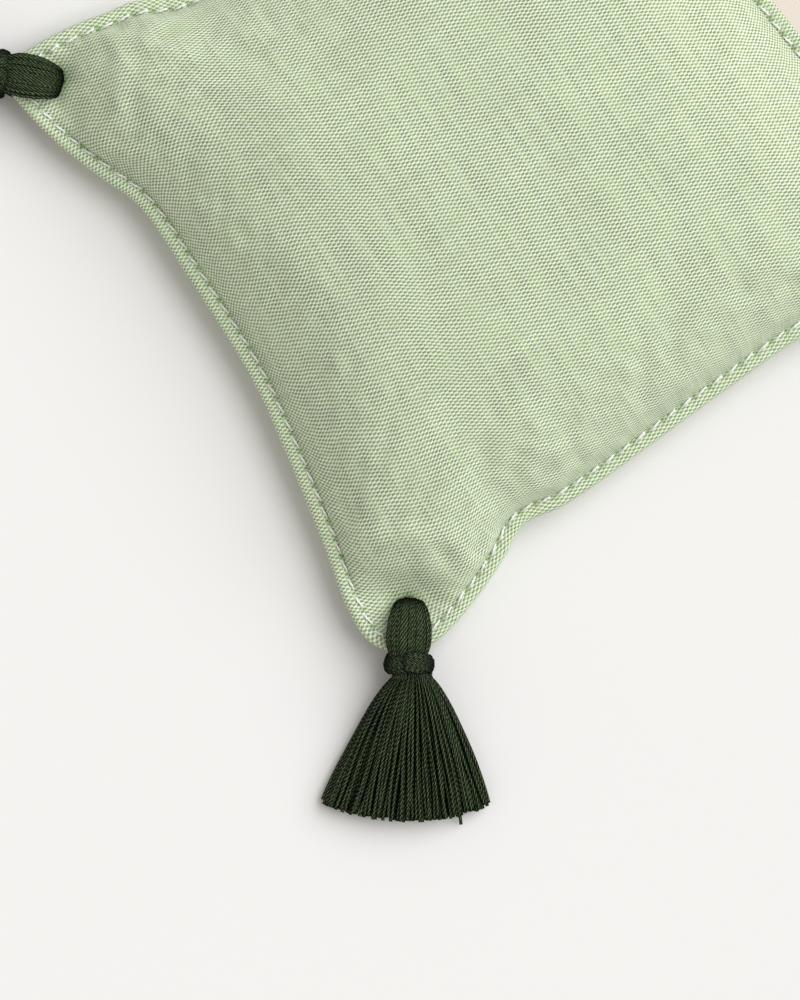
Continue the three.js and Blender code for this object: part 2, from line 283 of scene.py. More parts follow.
class SachetStitches(bpy.types.PropertyGroup):
    """Edge stitching"""
    pitch: length("Pitch", 2.65, "From one stitch to the next")
    dash: length("Dash", 1.8, "Length of thread that shows in each stitch")
    thread: length("Thread", 0.48, "Thickness of the thread")
    slant: FloatProperty(name="Slant", description="Turn of each stitch off the seam", subtype="ANGLE",
                         default=math.radians(11))
    thread_colour: colour("Thread Colour", 1.0, 1.0, 0.96, "Colour of the sewing thread")
    seed: IntProperty(name="Seed", description="Seed of the stitches' unevenness", default=3)


class SachetLabel(bpy.types.PropertyGroup):
    """Folded label"""
    tape: length("Tape", 0.2, "Thickness of the tape")
    puff: length("Puff", 0.25, "How far the two layers stand apart in the middle")
    droop: length("Droop", 0.5, "How far the folded end hangs")
    tape_colour: colour("Tape Colour", 0.92, 0.83, 0.74, "Colour of the tape")


class SachetTassels(bpy.types.PropertyGroup):
    """Yarn tassels"""
    strands: IntProperty(name="Strands", description="Strands in a skirt", default=280, min=20)
    strand: length("Strand", 0.47, "Thickness of a skirt strand")
    skirt: length("Skirt", 20.1, "From the tie to the middle of the hem")
    hem_half_width: length("Hem Half Width", 12.55, "Half of the skirt's width at the hem")
    hem_half_thickness: length("Hem Half Thickness", 1.9, "Half of the skirt's thickness at the hem")
    lean: length("Lean", 1.3, "How far the skirt lies to one side")
    neck: length("Neck", 2.5, "Radius of the bundle at the tie")
    twist: length("Twist", 0.7, "Length of yarn from one ply to the next")
    raggedness: length("Raggedness", 0.45, "How unevenly the hem is cut")
    loop_strands: IntProperty(name="Loop Strands", description="Strands round the loop", default=64, min=8)
    loop_strand: length("Loop Strand", 0.42, "Thickness of a loop strand")
    tie_strands: IntProperty(name="Tie Strands", description="Strands in the tie", default=30, min=3)
    tie_strand: length("Tie Strand", 0.38, "Thickness of a tie strand")
    yarn_colour: colour("Yarn Colour", 0.0207, 0.0312, 0.0137, "Colour of the yarn")
    seed: IntProperty(name="Seed", description="Seed of the strands' unevenness", default=11)


class SachetFilling(bpy.types.PropertyGroup):
    """Dried flowers"""
    depth: length("Depth", 2.4, "Depth of the buds under the cloth")
    bud: length("Bud", 1.1, "Half length of a bud")
    density: FloatProperty(name="Density", description="Buds on each square metre", default=60000.0)
    bud_colour: colour("Bud Colour", 0.16, 0.14, 0.27, "Colour of the dried buds")
    seed: IntProperty(name="Seed", description="Seed of the buds' places", default=5)


class SachetStage(bpy.types.PropertyGroup):
    """Floor, light and camera"""
    aim: FloatVectorProperty(name="Aim", description="Point under the camera", size=2, unit="LENGTH",
                             default=(-36.2 * MM, -31.1 * MM))
    turn: FloatProperty(name="Turn", description="Turn of the picture over the sachet", subtype="ANGLE",
                        default=math.radians(-34.58))
    picture_height: length("Picture Height", 139.4, "Height of the picture on the ears' plane")
    distance: length("Distance", 750.0, "From the camera to the ears' plane")
    key_azimuth: FloatProperty(name="Key Azimuth", description="Side that the main light comes from",
                               subtype="ANGLE", default=math.radians(-8))
    key_elevation: FloatProperty(name="Key Elevation", description="Height of the main light",
                                 subtype="ANGLE", default=math.radians(48))
    key_angle: FloatProperty(name="Key Angle", description="Width of the main light as seen from the sachet",
                             subtype="ANGLE", default=math.radians(58))
    key_strength: FloatProperty(name="Key Strength", description="Strength of the main light", default=2.34)
    sky: FloatProperty(name="Sky", description="Strength of the light from all round", default=0.45)
    floor_colour: colour("Floor Colour", 0.94, 0.93, 0.922, "Colour of the floor")


GROUPS = {
    "sachet_cover": SachetCover,
    "sachet_stitches": SachetStitches,
    "sachet_label": SachetLabel,
    "sachet_tassels": SachetTassels,
    "sachet_filling": SachetFilling,
    "sachet_stage": SachetStage,
}


class Wire:
    """A socket in a node tree. Arithmetic on wires adds Math nodes, and node() adds any other node."""

    def __init__(self, tree, socket=None):
        self.tree = tree
        self.socket = socket

    def node(self, kind, settings=(), inputs=(), output=0):
        """A new node with its settings, then the values or links of its sockets; gives one output."""
        made = self.tree.nodes.new(kind)
        for name, value in dict(settings).items():
            setattr(made, name, value)
        for key, value in dict(inputs).items():
            if isinstance(value, Wire):
                self.tree.links.new(value.socket, made.inputs[key])
            else:
                made.inputs[key].default_value = value
        return Wire(self.tree, made.outputs[output])

    def out(self, key):
        """Another output of the same node."""
        return Wire(self.tree, self.socket.node.outputs[key])

    def math(self, operation, *others):
        """A Math node on this wire and others."""
        return self.node("ShaderNodeMath", {"operation": operation}, dict(enumerate((self, *others))))

    def __add__(self, other):
        return self.math("ADD", other)

    def __radd__(self, other):
        return self.math("ADD", other)

    def __sub__(self, other):
        return self.math("SUBTRACT", other)

    def __rsub__(self, other):
        return self.node("ShaderNodeMath", {"operation": "SUBTRACT"}, {0: other, 1: self})

    def __mul__(self, other):
        return self.math("MULTIPLY", other)

    def __rmul__(self, other):
        return self.math("MULTIPLY", other)

    def __truediv__(self, other):
        return self.math("DIVIDE", other)

    def __pow__(self, other):
        return self.math("POWER", other)


def opaque(rgb):
    """A colour with full alpha."""
    return (*rgb, 1.0)


def mixed(factor, first, second):
    """A colour between two others."""
    return factor.node("ShaderNodeMix", {"data_type": "RGBA"}, {0: factor, 6: first, 7: second}, output=2)


def smooth(value, low, high):
    """A smooth step from 0 at low to 1 at high."""
    settings = {"interpolation_type": "SMOOTHSTEP"}
    return value.node("ShaderNodeMapRange", settings, {"Value": value, "From Min": low, "From Max": high})


def new_material(name):
    """An empty node material: gives the material, a wire to start from, and its surface shader."""
    material = bpy.data.materials.new(name)
    material.use_nodes = True
    tree = material.node_tree
    shader = tree.nodes["Principled BSDF"]
    return material, Wire(tree), shader


def set_shader(shader, **inputs):
    """Sets or links the surface shader's sockets, whose names have underscores for spaces."""
    for name, value in inputs.items():
        socket = shader.inputs[name.replace("_", " ")]
        if isinstance(value, Wire):
            value.tree.links.new(value.socket, socket)
        else:
            socket.default_value = value


def noise(wire, vector, scale, detail=2.0, roughness=0.5):
    """A noise value over a vector."""
    inputs = {"Vector": vector, "Scale": scale, "Detail": detail, "Roughness": roughness}
    return wire.node("ShaderNodeTexNoise", {"noise_dimensions": "3D"}, inputs)


def vector(wire, x, y, z):
    """A vector of wires or numbers."""
    return wire.node("ShaderNodeCombineXYZ", (), {0: x, 1: y, 2: z})


def scaled(arrow, factor):
    """A vector or colour times a number."""
    return factor.node("ShaderNodeVectorMath", {"operation": "SCALE"}, {0: arrow, "Scale": factor})


def carried(wire, name, output="Fac"):
    """A value that the mesh carries under a name."""
    return wire.node("ShaderNodeAttribute", {"attribute_name": name}, output=output)


def bumped(height, strength, distance):
    """A normal that follows a height, which stands for a distance in millimetres."""
    inputs = {"Strength": strength, "Distance": distance * MM, "Height": height}
    return height.node("ShaderNodeBump", (), inputs)


def chambray_material(cover):
    """Plain weave of thin white yarns across thick green ones, with slubs and streaks along both."""
    material, wire, shader = new_material("chambray_weave")
    flat = wire.node("ShaderNodeUVMap", {"uv_map": "flat_cloth"})
    split = wire.node("ShaderNodeSeparateXYZ", (), {0: flat})
    size = cover.flat_size
    across = split.out("X") * (size / cover.warp_pitch)
    along = split.out("Y") * (size / cover.weft_pitch)
    drift = noise(wire, flat, 60.0, 1.0) - 0.5
    across = across + drift * 0.7
    along = along + drift * 0.5
    checker = (across * math.pi).math("COSINE") * (along * math.pi).math("COSINE")
    white_up = smooth(checker, -0.26, 0.16)
    crown = checker.math("ABSOLUTE")
    weft_run = noise(wire, vector(wire, across * 0.035, along.math("FLOOR") * 0.73, 0.0), 1.0, 3.0, 0.6)
    warp_run = noise(wire, vector(wire, across.math("FLOOR") * 0.73, along * 0.02, 7.0), 1.0, 3.0, 0.6)
    white = mixed(smooth(weft_run, 0.3, 0.72), opaque(c * 0.86 for c in cover.white), opaque(cover.white))
    deep = opaque(c * 0.72 for c in cover.green)
    pale = opaque(c * 1.3 for c in cover.green)
    green = mixed(smooth(warp_run, 0.28, 0.74), deep, pale)
    yarns = mixed(white_up, green, white)
    # Painted shade: the weave's colour is darkened in the gaps between its yarns, where shade falls.
    gap = 0.96 + 0.04 * smooth(crown, 0.0, 0.4)
    # Painted shade: dark green where the cloth dips into each needle hole and round each loop's hole.
    cloth = mixed(carried(wire, "needle_hole") * 0.7, scaled(yarns, gap), opaque(NEEDLE_HOLE_SHADE))
    bump = bumped(crown ** 0.6, 0.35, 0.12)
    set_shader(shader, Base_Color=cloth, Normal=bump, Roughness=0.9, Specular_IOR_Level=0.25,
               Sheen_Weight=0.15, Sheen_Roughness=0.5)
    return material


def thread_material(stitches):
    """Pale two-ply sewing thread, with painted shade in the groove between its plies."""
    material, wire, shader = new_material("sewing_thread")
    groove = carried(wire, "groove")
    base = mixed(groove, opaque(stitches.thread_colour), opaque(c * 0.93 for c in stitches.thread_colour))
    place = wire.node("ShaderNodeTexCoord", output="Object")
    fibres = noise(wire, place, 9000.0, 2.0)
    bump = bumped(fibres, 0.15, 0.03)
    set_shader(shader, Base_Color=base, Normal=bump, Roughness=0.62, Specular_IOR_Level=0.35)
    return material


def yarn_material(tassels):
    """Dark spun cotton: each strand its own tone, with painted shade between its plies and on its flanks, and
    painted highlights on pale fibres where it is lit.
    """
    material, wire, shader = new_material(YARN)
    way = wire.node("ShaderNodeSeparateXYZ", (), {0: carried(wire, "way_round", "Vector")})
    turns = carried(wire, "turns")
    ply = (way.out("Y").math("ARCTAN2", way.out("X")) * PLIES - turns * math.tau).math("COSINE")
    ply = 0.5 + 0.5 * ply
    strand = carried(wire, "strand")
    place = wire.node("ShaderNodeTexCoord", output="Object")
    fibres = noise(wire, place, 6500.0, 3.0, 0.65)
    base = tassels.yarn_colour
    tone = mixed(strand, opaque(c * 1.5 for c in base), opaque(c * 3.0 for c in base))
    # Painted highlight: pale fibres, scattered by noise, lighten the strand's tone.
    highlit_tone = mixed(smooth(fibres, 0.42, 0.66), tone, opaque(c * 6.0 + 0.043 for c in base))
    # Painted shade: near black in the grooves between plies and on the flanks that face sideways; the rest
    # keeps the tone with its painted highlights.
    light = smooth(ply, 0.15, 0.8) * smooth(carried(wire, "upward"), 0.25, 0.9)
    shaded = mixed(light, opaque(c * 0.06 for c in base), highlit_tone)
    bump = bumped(ply + fibres * 0.6, 0.6, 0.08)
    set_shader(shader, Base_Color=shaded, Normal=bump, Roughness=0.75, Specular_IOR_Level=0.04)
    return material


def tape_material(label):
    """Cream ribbed tape, woven in fine ribs along its length."""
    material, wire, shader = new_material("label_tape")
    place = wire.node("ShaderNodeTexCoord", output="Object")
    split = wire.node("ShaderNodeSeparateXYZ", (), {0: place})
    ribs = (split.out("Y") * (math.tau / (RIB_PITCH * MM))).math("SINE") * 0.5 + 0.5
    picks = (split.out("X") * (math.tau / (PICK_PITCH * MM))).math("SINE") * 0.5 + 0.5
    weave = ribs * 0.7 + picks * 0.3
    soil = noise(wire, place, 180.0, 3.0)
    # Painted shade: the tape is darker in the hollows between its ribs and picks.
    base = mixed(weave, opaque(c * 0.86 for c in label.tape_colour), opaque(label.tape_colour))
    worn = mixed(smooth(soil, 0.5, 0.8) * 0.25, base, opaque(c * 0.9 for c in label.tape_colour))
    bump = bumped(weave, 0.4, 0.05)
    set_shader(shader, Base_Color=worn, Normal=bump, Roughness=0.72, Specular_IOR_Level=0.3)
    return material


def bud_material(filling):
    """Dried lavender buds, from grey violet to straw."""
    material, wire, shader = new_material("dried_buds")
    bud = carried(wire, "bud")
    place = wire.node("ShaderNodeTexCoord", output="Object")
    ribs = noise(wire, place, 2600.0, 3.0)
    base = mixed(smooth(bud, 0.55, 1.0), opaque(filling.bud_colour), opaque(STRAW_COLOUR))
    shade = mixed(smooth(ribs, 0.35, 0.65), opaque(c * 0.45 for c in filling.bud_colour), base)
    bump = bumped(ribs, 0.6, 0.15)
    set_shader(shader, Base_Color=shade, Normal=bump, Roughness=0.95, Specular_IOR_Level=0.1)
    return material


def floor_material(stage):
    """Pale matt floor with hardly any tooth."""
    material, wire, shader = new_material("pale_floor")
    place = wire.node("ShaderNodeTexCoord", output="Object")
    cloud = noise(wire, place, 6.0, 3.0)
    base = mixed(cloud, opaque(c * 0.985 for c in stage.floor_colour), opaque(stage.floor_colour))
    set_shader(shader, Base_Color=base, Roughness=0.95, Specular_IOR_Level=0.1)
    return material


def linked(name, data):
    """A new object of the scene that holds the data."""
    made = bpy.data.objects.new(name, data)
    bpy.context.scene.collection.objects.link(made)
    return made


def new_piece(name, mesh, material, body, slot, *nodes):
    """Links a finished mesh as a piece that rides on a body and stands for its nodes."""
    piece = linked(name, mesh)
    mesh.name = name
    mesh.materials.clear()
    mesh.materials.append(material)
    mesh.polygons.foreach_set("use_smooth", np.ones(len(mesh.polygons), bool))
    if body:
        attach(piece, body)
    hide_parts(*nodes)
    return piece


def edge_knots():
    """Knots of the cushion's edge in plan, counterclockwise from the first corner's tip."""
    knots = []
    for index, corner in enumerate(CORNERS):
        follower = CORNERS[(index + 1) % len(CORNERS)]
        tip = np.array((corner.x, corner.y)) * CORNER_SPAN / 2
        along = np.array((follower.x - corner.x, follower.y - corner.y)) / 2
        inward = np.array((-along[1], along[0]))
        leaving = list(corner.after)
        arriving = [(CORNER_SPAN - distance, share) for distance, share in reversed(follower.before)]
        knots.append(tip)
        for distance, share in leaving + arriving:
            knots.append(tip + along * distance + inward * share * DRAW_IN)
    return np.array(knots)


def curve_points(knots, places):
    """Points of the closed centripetal Catmull-Rom curve through the knots, one knot to each unit."""
    index = np.floor(places).astype(int)
    share = (places - index)[:, None]
    before, start, end, after = (knots[(index + step) % len(knots)] for step in (-1, 0, 1, 2))
    pairs = ((before, start), (start, end), (end, after))
    gap0, gap1, gap2 = (np.sqrt(np.linalg.norm(b - a, axis=1))[:, None] for a, b in pairs)
    leave = ((start - before) / gap0 - (end - before) / (gap0 + gap1) + (end - start) / gap1) * gap1
    arrive = ((end - start) / gap1 - (after - start) / (gap1 + gap2) + (after - end) / gap2) * gap1
    cubic = 2 * start - 2 * end + leave + arrive
    square = 3 * end - 3 * start - 2 * leave - arrive
    return ((cubic * share + square) * share + leave) * share + start


def tip_distance(places):
    """Distance in plan from each place to the nearest tip."""
    return np.min(np.linalg.norm(places[..., None, :] - TIPS, axis=-1), axis=-1)


def eased(value, start, span):
    """A smooth step from 0 at start to 1 a span later."""
    share = np.clip((value - start) / span, 0.0, 1.0)
    return share * share * (3 - 2 * share)


def sewn_ring(cells):
    """Seam and edge in plan at equal steps, with the seam's height and the run along it, in millimetres."""
    knots = edge_knots()
    steps = 40 * len(knots) // len(CORNERS)
    edge = curve_points(knots, np.arange(steps * len(CORNERS)) * len(knots) / (steps * len(CORNERS)))
    tangent = np.roll(edge, -1, 0) - np.roll(edge, 1, 0)
    tangent /= np.linalg.norm(tangent, axis=1)[:, None]
    seam = edge + np.stack([-tangent[:, 1], tangent[:, 0]], 1) * SEAM_SETBACK
    seams, edges, runs = [], [], []
    start = 0.0
    for side in range(len(CORNERS)):
        span = np.arange(side * steps, (side + 1) * steps + 1) % len(edge)
        run = np.append(0.0, np.cumsum(np.linalg.norm(np.diff(seam[span], axis=0), axis=1)))
        places = np.linspace(0.0, run[-1], cells, endpoint=False)
        seams.append(np.stack([np.interp(places, run, seam[span, axis]) for axis in (0, 1)], 1))
        edges.append(np.stack([np.interp(places, run, edge[span, axis]) for axis in (0, 1)], 1))
        runs.append(start + places)
        start += run[-1]
    edges = np.concatenate(edges)
    rise = eased(tip_distance(edges), EAR_FLAT, EAR_RISE)
    height = ear_height() + (SIDE_SEAM_HEIGHT - ear_height()) * rise
    return Ring(np.concatenate(seams), edges, height, np.append(np.concatenate(runs), start))


def ear_height():
    """Height of the middle of the ears, in millimetres."""
    return JOINTS["front_left_swing"]["pos_m"][2] / MM


def hole_places():
    """Holes of the four ears in plan, in millimetres, each a little way along its tassel."""
    for tassel in tassel_places():
        heading = np.array((math.cos(tassel.heading), math.sin(tassel.heading)))
        yield np.array(tassel.hole[:2]) / MM + heading * HOLE_SHIFT


def rim(cells):
    """Grid indices of a sheet's rim, counterclockwise from its first corner."""
    low = np.zeros(cells, int)
    run = np.arange(cells)
    far = np.full(cells, cells)
    i = np.concatenate([run, far, cells - run, low])
    j = np.concatenate([low, run, far, cells - run])
    return i * (cells + 1) + j


def grid_quads(cells):
    """Quads of a sheet, facing up."""
    i, j = np.meshgrid(np.arange(cells), np.arange(cells), indexing="ij")
    first = (i * (cells + 1) + j).ravel()
    return np.stack([first, first + cells + 1, first + cells + 2, first + 1], 1)


def band_quads(inner, outer):
    """Quads between two loops, facing up where the second lies outside the first."""
    return np.stack([inner, outer, np.roll(outer, -1), np.roll(inner, -1)], 1)


def flat_grid(cells, half):
    """Flat places of a sheet's points."""
    line = np.linspace(-half, half, cells + 1)
    return np.stack(np.meshgrid(line, line, indexing="ij"), 2)


def sheet_point(ring, cells, side, s, t):
    """Points of a filled sheet at places from -1 to 1 across it, in millimetres."""
    looped = np.concatenate([ring.seam, ring.seam[:1]])
    heights = np.append(ring.height, ring.height[0])
    steps = np.arange(cells + 1)

    def side_point(number, share, values):
        return np.interp(share * cells, steps, values[number * cells:(number + 1) * cells + 1])

    x, y = (s + 1) / 2, (t + 1) / 2
    plan = []
    for axis in (0, 1):
        values = looped[:, axis]
        bottom, top = side_point(0, x, values), side_point(2, 1 - x, values)
        right, left = side_point(1, y, values), side_point(3, 1 - y, values)
        corners = [values[number * cells] for number in range(4)]
        blend = (1 - x) * (1 - y) * corners[0] + x * (1 - y) * corners[1] + x * y * corners[2]
        blend = blend + (1 - x) * y * corners[3]
        plan.append((1 - y) * bottom + y * top + (1 - x) * left + x * right - blend)
    reach = np.maximum(np.maximum(np.abs(s), np.abs(t)), 1e-9)
    across, up = (s / reach + 1) / 2, (t / reach + 1) / 2
    beside = np.abs(s) >= np.abs(t)
    seam = np.where(beside, np.where(s > 0, side_point(1, up, heights), side_point(3, 1 - up, heights)),
                    np.where(t < 0, side_point(0, across, heights), side_point(2, 1 - across, heights)))
    spread = [np.abs(s), np.abs(t)]
    if side < 0:
        spread = [np.clip((share - BASE_SHARE) / (1 - BASE_SHARE), 0.0, 1.0) for share in spread]
    crown = np.sqrt((1 - spread[0] ** CROWN_POWER) * (1 - spread[1] ** CROWN_POWER))
    place = np.stack(plan, -1)
    crown = crown * eased(tip_distance(place), EAR_HELD, EAR_BLEND)
    rise = seam + side * EDGE_HALF * SEAM_SHARE
    pole = TOP_HEIGHT if side > 0 else 0.0
    return np.dstack([place, rise * (1 - crown) + pole * crown])


def even_sheet(ring, cells, side):
    """A filled sheet as a grid whose yarns are evenly stretched along and across."""
    line = np.linspace(-1.0, 1.0, cells + 1)
    places = np.stack(np.meshgrid(line, line, indexing="ij"), 2)
    for sweep in range(EVENING_SWEEPS):
        points = sheet_point(ring, cells, side, places[..., 0], places[..., 1])
        axis = sweep % 2
        rows = np.moveaxis(places, axis, 0)
        steps = np.linalg.norm(np.diff(np.moveaxis(points, axis, 0), axis=0), axis=2)
        run = np.concatenate([np.zeros((1, cells + 1)), np.cumsum(steps, axis=0)])
        share = np.linspace(0.0, 1.0, cells + 1)
        for number in range(cells + 1):
            even = share * run[-1, number]
            for part in (0, 1):
                rows[:, number, part] = np.interp(even, run[:, number], rows[:, number, part])
    return sheet_point(ring, cells, side, places[..., 0], places[..., 1])


def fill_sheets(cover):
    """Fills the sewn sheets as cloth under pressure and gives the two fine grids, in millimetres."""
    cells = cover.cells
    ring = sewn_ring(cells * FINER)
    sheets = np.stack([even_sheet(ring, cells * FINER, side) for side in (1, -1)])
    count = (cells + 1) ** 2
    points = sheets[:, ::FINER, ::FINER].reshape(-1, 3)
    quads = grid_quads(cells)
    loop = rim(cells)
    faces = np.concatenate([quads, quads[:, ::-1] + count, band_quads(loop, loop + count)])
    mesh = bpy.data.meshes.new("filling_cloth")
    mesh.from_pydata(points * SIM_SCALE, [], faces)
    cloth = linked("filling_cloth", mesh)
    cloth.shape_key_add(name="sewn", from_mix=False)
    cut = cloth.shape_key_add(name="cut", from_mix=False)
    cut.data.foreach_set("co", (points * SIM_SCALE * (1.0 + cover.slack)).ravel())
    held = tip_distance(points[:, :2]) < EAR_HELD
    held[loop] = True
    held[loop + count] = True
    sewn = cloth.vertex_groups.new(name="sewn")
    sewn.add([int(index) for index in np.nonzero(held)[0]], 1.0, "REPLACE")
    filled = cloth.vertex_groups.new(name="filled")
    filled.add([int(index) for index in np.nonzero(~held)[0]], 1.0, "REPLACE")
    moved = run_cloth(cloth, cut, cover) / SIM_SCALE - points
    reach = np.maximum(np.linalg.norm(moved, axis=1), 1e-9)[:, None]
    give = cover.give / MM
    moved = moved * np.tanh(reach / give) * give / reach
    bpy.data.objects.remove(cloth)
    return sheets + np.stack([refined(refined(grid)) for grid in moved.reshape(2, cells + 1, cells + 1, 3)])


def run_cloth(cloth, cut, cover):
    """Steps the cloth to rest under pressure and gives its points."""
    untouched = cloth.modifiers.new("Cut", "EDGE_SPLIT")
    untouched.use_edge_angle = False
    untouched.use_edge_sharp = False
    modifier = cloth.modifiers.new("Filling", "CLOTH")
    settings = modifier.settings
    for name, value in CLOTH.items():
        setattr(settings, name, value)
    settings.uniform_pressure_force = cover.pressure
    settings.effector_weights.gravity = 0.0
    settings.rest_shape_key = cut
    modifier.collision_settings.use_collision = False
    modifier.collision_settings.use_self_collision = False
    modifier.point_cache.frame_start = 1
    modifier.point_cache.frame_end = cover.frames
    scene = bpy.context.scene
    for step in range(1, cover.frames + 1):
        scene.frame_set(step)
    depsgraph = bpy.context.evaluated_depsgraph_get()
    mesh = cloth.evaluated_get(depsgraph).data
    points = np.zeros(len(mesh.vertices) * 3)
    mesh.vertices.foreach_get("co", points)
    scene.frame_set(1)
    return points.reshape(-1, 3)


def refined(grid):
    """The grid at twice the count, smoothly through the points that it has."""
    for axis in (0, 1):
        lines = np.moveaxis(grid, axis, 0)
        padded = np.concatenate([2 * lines[:1] - lines[1:2], lines, 2 * lines[-1:] - lines[-2:-1]])
        between = (9 * (padded[1:-2] + padded[2:-1]) - padded[:-3] - padded[3:]) / 16
        finer = np.empty((2 * len(lines) - 1, *lines.shape[1:]))
        finer[0::2] = lines
        finer[1::2] = between
        grid = np.moveaxis(finer, 0, axis)
    return grid


def grid_normals(grid):
    """Unit normals of a grid of points."""
    normals = np.cross(np.gradient(grid, axis=0), np.gradient(grid, axis=1))
    return normals / np.linalg.norm(normals, axis=2)[..., None]


def lumpiness(places, seed):
    """Soft lumps from a few crossed waves, about 1 high."""
    generator = np.random.default_rng(seed)
    total = np.zeros(places.shape[:2])
    for _ in range(LUMP_WAVES):
        heading = generator.uniform(0.0, math.tau)
        wavelength = generator.uniform(*LUMP_LENGTHS)
        phase = generator.uniform(0.0, math.tau)
        along = places[..., 0] * math.cos(heading) + places[..., 1] * math.sin(heading)
        total += np.sin(along * math.tau / wavelength + phase) * wavelength / LUMP_LENGTHS[1]
    return total / LUMP_SUM


def stitch_count(stitches, ring):
    """Stitches that fit round the seam."""
    return round(ring.run[-1] / (stitches.pitch / MM))


def settled(front, back):
    """Brings the top to its height and lets the underside lie flat on the surface below."""
    cells = len(front) - 1
    share = flat_grid(cells, 1.0)
    swell = (1 - share[..., 0] ** 2) * (1 - share[..., 1] ** 2)
    front = front.copy()
    front[..., 2] += (TOP_HEIGHT - front[..., 2].max()) * swell
    back = back.copy()
    softness = 0.5
    back[..., 2] = (back[..., 2] + np.sqrt(back[..., 2] ** 2 + softness ** 2)) / 2
    back[..., 2] -= back[..., 2].min()
    return front, back


def label_parting(edge):
    """How far the label pushes the two layers of the edge apart, from 0 to 1, round the edge."""
    low, high = (np.array(corner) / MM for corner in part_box("edge_label"))
    beside = np.minimum(edge[:, 1] - low[1], high[1] - edge[:, 1])
    near = (edge[:, 0] > 0) & (np.abs(edge[:, 1]) < CORNER_SPAN / 3)
    return np.clip(beside / LABEL_BESIDE + 1.0, 0.0, 1.0) * near


def dressed_sheet(fine, side, cover, stitches):
    """The sheet's outer surface with its gathers and lumps: points, flat places and the sewn ring."""
    cells = len(fine) - 1
    half = cover.flat_size / MM / 2 - SEAM_SETBACK
    flat = flat_grid(cells, half)
    ring = sewn_ring(cells)
    loop = rim(cells)
    inset = half - np.abs(flat)
    depth = inset.min(2)
    bottom, right, top, left = (np.append(ring.run[k * cells:(k + 1) * cells], ring.run[(k + 1) * cells])
                                for k in range(4))
    beside = np.abs(flat[..., 0]) > np.abs(flat[..., 1])
    run = np.where(flat[..., 1] < 0, bottom[:, None], top[::-1][:, None])
    run = np.where(beside, np.where(flat[..., 0] > 0, right[None], left[::-1][None]), run)
    phase = run * math.tau * stitch_count(stitches, ring) / ring.run[-1]
    from_corner = np.linalg.norm(inset, axis=2)
    gather = cover.pucker / MM * np.cos(phase) * np.exp(-depth / GATHER_DEPTH)
    gather = gather * np.clip(from_corner / GATHER_MARGIN, 0, 1)
    fade = np.clip(depth / LUMP_MARGIN, 0.0, 1.0)
    lumps = cover.lumps / MM * lumpiness(flat, cover.seed + side) * fade
    if side < 0:
        lumps = lumps * np.clip(fine[..., 2] / RESTING_HEIGHT, 0.0, 1.0)
    fine = fine + grid_normals(fine) * (side * (gather + lumps))[..., None]
    points = fine.reshape(-1, 3)
    points[loop, :2] = ring.seam
    seam_rise = EDGE_HALF * SEAM_SHARE + SEAM_WAVE * np.cos(phase.ravel()[loop])
    points[loop, 2] = ring.height + side * seam_rise
    points[:, 2] = np.maximum(points[:, 2], 0.0)
    holes = needle_holes(depth, phase, stitches)
    return points.reshape(fine.shape), flat, ring, holes


def needle_holes(depth, phase, stitches):
    """How near each place is to a needle hole, from 0 to 1, by its depth inside the seam and its phase."""
    spread = 0.36
    off = np.abs((phase % math.tau) - math.pi) * stitches.pitch / MM / math.tau
    return np.exp(-((depth + STITCH_SHARE * SEAM_SETBACK) / spread) ** 2 - (off / spread) ** 2)


